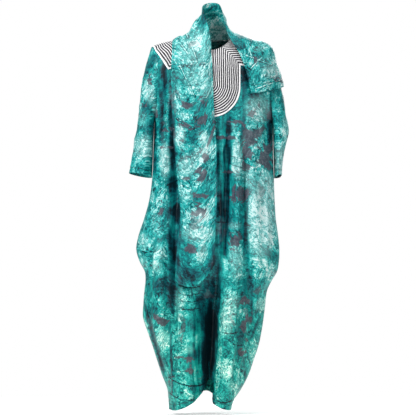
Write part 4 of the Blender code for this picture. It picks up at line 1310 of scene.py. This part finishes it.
def line_group():
    """One thin dark line of painted shade along a fold: a sagging arc with soft ends, in millimetres."""
    group, given, out = new_group("fold_shade_line", dict.fromkeys(LINE_INPUTS, "Float"), {"Mask": "Float"})
    x, z, middle_x, middle_z, half, sag, width, slope = (given.outputs[name] for name in LINE_INPUTS)
    offset = minus(group, x, middle_x)
    t = math_of(group, "DIVIDE", offset, half)
    arc = minus(group, 1.0, times(group, t, t))
    level = times_plus(group, slope, offset, middle_z)
    level = minus(group, level, times(group, sag, arc))
    away = math_of(group, "ABSOLUTE", minus(group, z, level))
    body = band(group, math_of(group, "DIVIDE", away, width), 0.3, 1.6, 1.0, 0.0)
    ends = band(group, math_of(group, "ABSOLUTE", t), 0.8, 1.05, 1.0, 0.0)
    feed(group, out, {"Mask": times(group, body, ends)})
    return group


def fold_shade_lines(tree, group):
    """The strongest of the painted shade lines along the front's folds at each point, slightly wavering."""
    at = object_place(tree)
    split = split_of(tree, at)
    waver = times_plus(tree, noise_of(tree, at, 45.0, 2.0), 10.0, -5.0)
    x = times(tree, split[0], 1000.0)
    z = times_plus(tree, split[2], 1000.0, waver)
    strongest = 0.0
    for *sizes, strength in FOLD_SHADE_LINES:
        line = place(tree, "ShaderNodeGroup", dict(zip(LINE_INPUTS, (x, z, *sizes))), node_tree=group)
        mask = times(tree, line.outputs["Mask"], strength)
        strongest = math_of(tree, "MAXIMUM", mask, strongest)
    return strongest


# Waves of the threads and of the stitches, in radians for each metre.
THREAD_WAVES = 12000.0
STITCH_WAVES = 2100.0


def weave_group():
    """Fine plain weave: threads as sines across and down the cloth, with slubs in their thickness."""
    group, given, out = new_group("silky_weave", {"Cloth": "Vector"}, {"Height": "Float", "Gloss": "Float"})
    cloth = given.outputs["Cloth"]
    split = split_of(group, cloth)
    slub = noise_of(group, scaled(group, cloth, (60.0, 900.0, 1.0)), 1.0, 2.0)
    warp = math_of(group, "SINE", times(group, split[0], THREAD_WAVES))
    weft = math_of(group, "SINE", times(group, split[1], THREAD_WAVES))
    height = times_plus(group, times(group, warp, weft), 0.3, slub)
    lustre = noise_of(group, scaled(group, cloth, (40.0, 9.0, 1.0)), 1.0, 3.0)
    feed(group, out, {"Height": height, "Gloss": band(group, lustre, 0.3, 0.7, 0.36, 0.50)})
    return group


def hem_group():
    """A turned hem: a stitched groove one hem width from the edge, and a line along the fold itself."""
    inputs = {"Hem": "Float", "Cloth": "Vector"}
    group, given, out = new_group("turned_hem", inputs, {"Shade": "Float", "Height": "Float"})
    hem = given.outputs["Hem"]
    split = split_of(group, given.outputs["Cloth"])
    off = math_of(group, "ABSOLUTE", minus(group, hem, 1.0))
    groove = band(group, off, 0.03, 0.14, 1.0, 0.0)
    ways = math_of(group, "ADD", split[0], split[1])
    stitch = math_of(group, "SINE", times(group, ways, STITCH_WAVES))
    stitch = times(group, band(group, off, 0.0, 0.05, 1.0, 0.0), band(group, stitch, -0.2, 0.2))
    fold = band(group, hem, 0.0, 0.10, 1.0, 0.0)
    shade = math_of(group, "MAXIMUM", times(group, groove, 0.55), times(group, fold, 0.35))
    height = times_plus(group, stitch, 0.5, times(group, groove, -1.0))
    feed(group, out, {"Shade": shade, "Height": height})
    return group


def field_of(tree, name):
    return place(tree, "ShaderNodeAttribute", attribute_name=name).outputs["Fac"]


def bump_of(tree, height, distance, strength=1.0, below=None):
    inputs = {"Height": height, "Distance": distance, "Strength": strength}
    if below is not None:
        inputs["Normal"] = below
    return place(tree, "ShaderNodeBump", inputs).outputs["Normal"]


def new_material(name):
    """A material with its shader, and the tree it is in."""
    material = bpy.data.materials.new(name)
    material.use_nodes = True
    return material, material.node_tree, material.node_tree.nodes["Principled BSDF"]


def dyed_cloth(name, groups, pale_more, lined=False, creased=False):
    """Silky dyed cloth. Pale_more adds to its pale share. A lined cloth has the painted shade lines of the
    front's folds, and a creased one a painted highlight on each crease with painted shade beside it."""
    material, tree, shader = new_material(name)
    cloth = cloth_place(tree)
    pale = math_of(tree, "ADD", field_of(tree, "pale"), pale_more)
    sources = {"Cloth": cloth, "Pale": pale}
    for field in ("slate", "deep", "streak"):
        sources[field.capitalize()] = field_of(tree, field)
    if lined:
        # Painted shade lines along the front's folds.
        sources["Line"] = fold_shade_lines(tree, groups["line"])
    if creased:
        # Painted highlight on each crease of the stole and painted shade beside it, broken up by a noise.
        worn = band(tree, noise_of(tree, cloth, 30.0, 2.0), 0.36, 0.52)
        crease = field_of(tree, "crease")
        light = times(tree, band(tree, crease, 0.74, 0.90), -1.3)
        dark = times(tree, band(tree, crease, 0.35, 0.62), 0.55)
        sources["Line"] = times(tree, math_of(tree, "ADD", light, dark), worn)
    dye = place(tree, "ShaderNodeGroup", sources, node_tree=groups["dye"])
    weave = place(tree, "ShaderNodeGroup", {"Cloth": cloth}, node_tree=groups["weave"])
    edges = {"Hem": field_of(tree, "hem"), "Cloth": cloth}
    hem = place(tree, "ShaderNodeGroup", edges, node_tree=groups["hem"])
    colour = colour_mix(tree, hem.outputs["Shade"], dye.outputs["Color"], (0.002, 0.05, 0.055, 1))
    colour = colour_mix(tree, band(tree, pale, 0.15, 0.9, 0.0, 0.22), colour, (0.47, 0.60, 0.60, 1))
    low = band(tree, split_of(tree, object_place(tree))[2], -1.25, -0.65, 1.0, 0.0)
    colour = colour_mix(tree, low, colour, (1.0, 0.99, 0.86, 1), "MULTIPLY")
    normal = bump_of(tree, weave.outputs["Height"], 0.00012, 0.6)
    normal = bump_of(tree, dye.outputs["Relief"], 0.0006, 0.5, normal)
    normal = bump_of(tree, hem.outputs["Height"], 0.0006, 0.9, normal)
    feed(tree, shader, {"Base Color": colour, "Roughness": weave.outputs["Gloss"], "Normal": normal})
    feed(tree, shader, {"Specular IOR Level": 0.20, "Sheen Weight": 0.02, "Sheen Roughness": 0.4})
    return material


def cord_material():
    """Laid cords: white on odd rows and black between, twisted, with painted shade in their twists and in the
    crevices between the cords, and stray fibres.
    """
    material, tree, shader = new_material("laid_cords")
    uv = cloth_place(tree)
    split = split_of(tree, uv)
    fuzz = noise_of(tree, uv, 420.0, 2.0)
    row = times_plus(tree, minus(tree, fuzz, 0.5), 0.32, field_of(tree, "cord"))
    row = math_of(tree, "MAXIMUM", row, 1.0)
    swing = math_of(tree, "COSINE", times(tree, row, math.pi))
    black = band(tree, swing, -0.64, -0.40)
    # Painted shade in the crevices between neighbouring cords.
    gap_shade = band(tree, math_of(tree, "ABSOLUTE", swing), 0.0, 0.34, 1.0, 0.0)
    twist = times_plus(tree, split[1], 1100.0, times(tree, split[0], 2600.0))
    twist = math_of(tree, "SINE", twist)
    worn = band(tree, noise_of(tree, uv, 60.0, 3.0), 0.42, 0.75)
    white = colour_mix(tree, worn, (1.0, 1.0, 1.0, 1), (0.82, 0.80, 0.84, 1))
    dark = colour_mix(tree, worn, (0.003, 0.004, 0.008, 1), (0.030, 0.028, 0.045, 1))
    colour = colour_mix(tree, black, white, dark)
    colour = colour_mix(tree, times(tree, gap_shade, 0.3), colour, (0.03, 0.03, 0.045, 1))
    shade = band(tree, twist, -1.0, 0.2, 0.08, 0.0)
    colour = colour_mix(tree, shade, colour, (0.10, 0.10, 0.12, 1))
    normal = bump_of(tree, twist, 0.0003, 0.5)
    rough = band(tree, fuzz, 0.3, 0.7, 0.42, 0.60)
    feed(tree, shader, {"Base Color": colour, "Roughness": rough, "Normal": normal, "Sheen Weight": 0.1})
    return material


def floor_material():
    material, tree, shader = new_material("pale_floor")
    tone = band(tree, noise_of(tree, object_place(tree), 1.5, 2.0), 0.3, 0.7)
    colour = colour_mix(tree, tone, (0.90, 0.90, 0.90, 1), (0.93, 0.93, 0.93, 1))
    feed(tree, shader, {"Base Color": colour, "Roughness": 0.9, "Specular IOR Level": 0.1})
    feed(tree, shader, {"Emission Color": (1, 1, 1, 1), "Emission Strength": 0.35})
    return material


# The dress put together


def finish_piece(piece, material, node_names):
    """Gives a piece its material, attaches it to the root and hides the parts of the model that it stands in
    for.
    """
    piece.data.materials.append(material)
    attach(piece, "root")
    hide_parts(*node_names)


def make_dress():
    groups = {"dye": dye_group(), "line": line_group(), "weave": weave_group(), "hem": hem_group()}
    front_dye = dyed_cloth("dyed_cloth_front", groups, 0.0, lined=True)
    back_dye = dyed_cloth("dyed_cloth_back", groups, 0.0)
    right_dye = dyed_cloth("dyed_cloth_right_sleeve", groups, 0.06)
    left_dye = dyed_cloth("dyed_cloth_left_sleeve", groups, -0.03)
    stole_dye = dyed_cloth("dyed_cloth_stole", groups, 0.04, creased=True)
    cords = cord_material()
    front = body_cloth("dress_front_cloth", FRONT, FRONT_COLUMNS, 5)
    back = body_cloth("dress_back_cloth", BACK, BACK_COLUMNS, 6)
    right = sleeve_cloth("right_sleeve_cloth", RIGHT_SLEEVE, -1, 7)
    left = sleeve_cloth("left_sleeve_cloth", LEFT_SLEEVE, 1, 9)
    bib_rows = bib_grid(BIB_ROWS * STEPS_PER_ROW + 1, 161)
    bib = yoke_piece("yoke_bib_cords", *bib_rows, FRONT, 1, FRONT, weld=True)
    shoulder = shoulder_grid(SHOULDER_ROWS * STEPS_PER_ROW + 1, 91)
    right_shoulder = yoke_piece("yoke_right_shoulder_cords", *shoulder, FRONT, -1, -FRONT)
    left_shoulder = yoke_piece("yoke_left_shoulder_cords", *shoulder, FRONT, 1, FRONT)
    back_yoke = yoke_piece("yoke_back_cords", *back_yoke_grid(141, 241), BACK, 1, BACK)
    below = [front, back, right, left, right_shoulder, left_shoulder, back_yoke]
    stole = stole_cloth("stole_cloth", below)
    finish_piece(front, front_dye, ["dress_front"])
    finish_piece(back, back_dye, ["dress_back"])
    finish_piece(right, right_dye, ["right_sleeve"])
    finish_piece(left, left_dye, ["left_sleeve"])
    finish_piece(bib, cords, ["yoke_bib"])
    finish_piece(right_shoulder, cords, ["yoke_right_shoulder"])
    finish_piece(left_shoulder, cords, ["yoke_left_shoulder"])
    finish_piece(back_yoke, cords, ["yoke_back"])
    stole_nodes = ["stole_fall", "stole_neck", "stole_shoulder"]
    finish_piece(stole, stole_dye, stole_nodes)


# Floor, light and camera


def make_floor():
    mesh = bpy.data.meshes.new("floor")
    size, level = 1.7, -1.421
    corners = [(-size, -size, level), (size, -size, level), (size, size, level), (-size, size, level)]
    mesh.from_pydata(corners, [], [(0, 1, 2, 3)])
    floor = add_object("floor", mesh)
    mesh.materials.append(floor_material())


def aim(thing, target):
    """Turns a lamp so that it faces a point."""
    direction = np.array(target) - np.array(thing.location)
    flat = math.hypot(direction[0], direction[1])
    turn = math.atan2(direction[0], -direction[1]) + math.pi
    thing.rotation_euler = (math.atan2(flat, -direction[2]), 0, turn)


def soft_light(name, place_at, power, size):
    lamp = bpy.data.lights.new(name, "AREA")
    lamp.energy = power
    lamp.size = size
    thing = add_object(name, lamp)
    thing.location = place_at
    aim(thing, (0.0, 0.0, -0.6))


def make_light():
    """A soft key from the upper left, a fill, a top light and one behind, in an even pale room."""
    soft_light("key_light", (-3.2, -3.6, 2.0), 205, 1.3)
    soft_light("fill_light", (2.6, -4.4, 0.2), 58, 2.4)
    soft_light("top_light", (0.3, -0.6, 3.0), 60, 1.8)
    soft_light("back_light", (1.2, 4.6, 1.4), 110, 2.6)
    world = bpy.data.worlds.new("studio")
    bpy.context.scene.world = world
    world.use_nodes = True
    tree = world.node_tree
    seen = place(tree, "ShaderNodeLightPath").outputs["Is Camera Ray"]
    strength = times_plus(tree, seen, 0.66, 0.34)
    back = tree.nodes["Background"]
    back.inputs["Color"].default_value = (1, 1, 1, 1)
    tree.links.new(strength, back.inputs["Strength"])


def make_camera():
    """The picture's own view: level, square on, 416 pixels for 1.581 m at the middle of the dress."""
    distance, middle_x, middle_z, shown = 20.0, -0.0114, -0.638, 1.581
    camera = bpy.data.cameras.new("camera")
    camera.sensor_width = 36.0
    camera.lens = 36.0 * distance / shown
    camera.clip_end = 100.0
    thing = add_object("camera", camera)
    thing.location = (middle_x, -distance, middle_z)
    thing.rotation_euler = (math.pi / 2, 0, 0)
    bpy.context.scene.camera = thing
    bpy.context.scene.view_settings.view_transform = "Standard"


make_camera()
make_light()
make_floor()
make_dress()
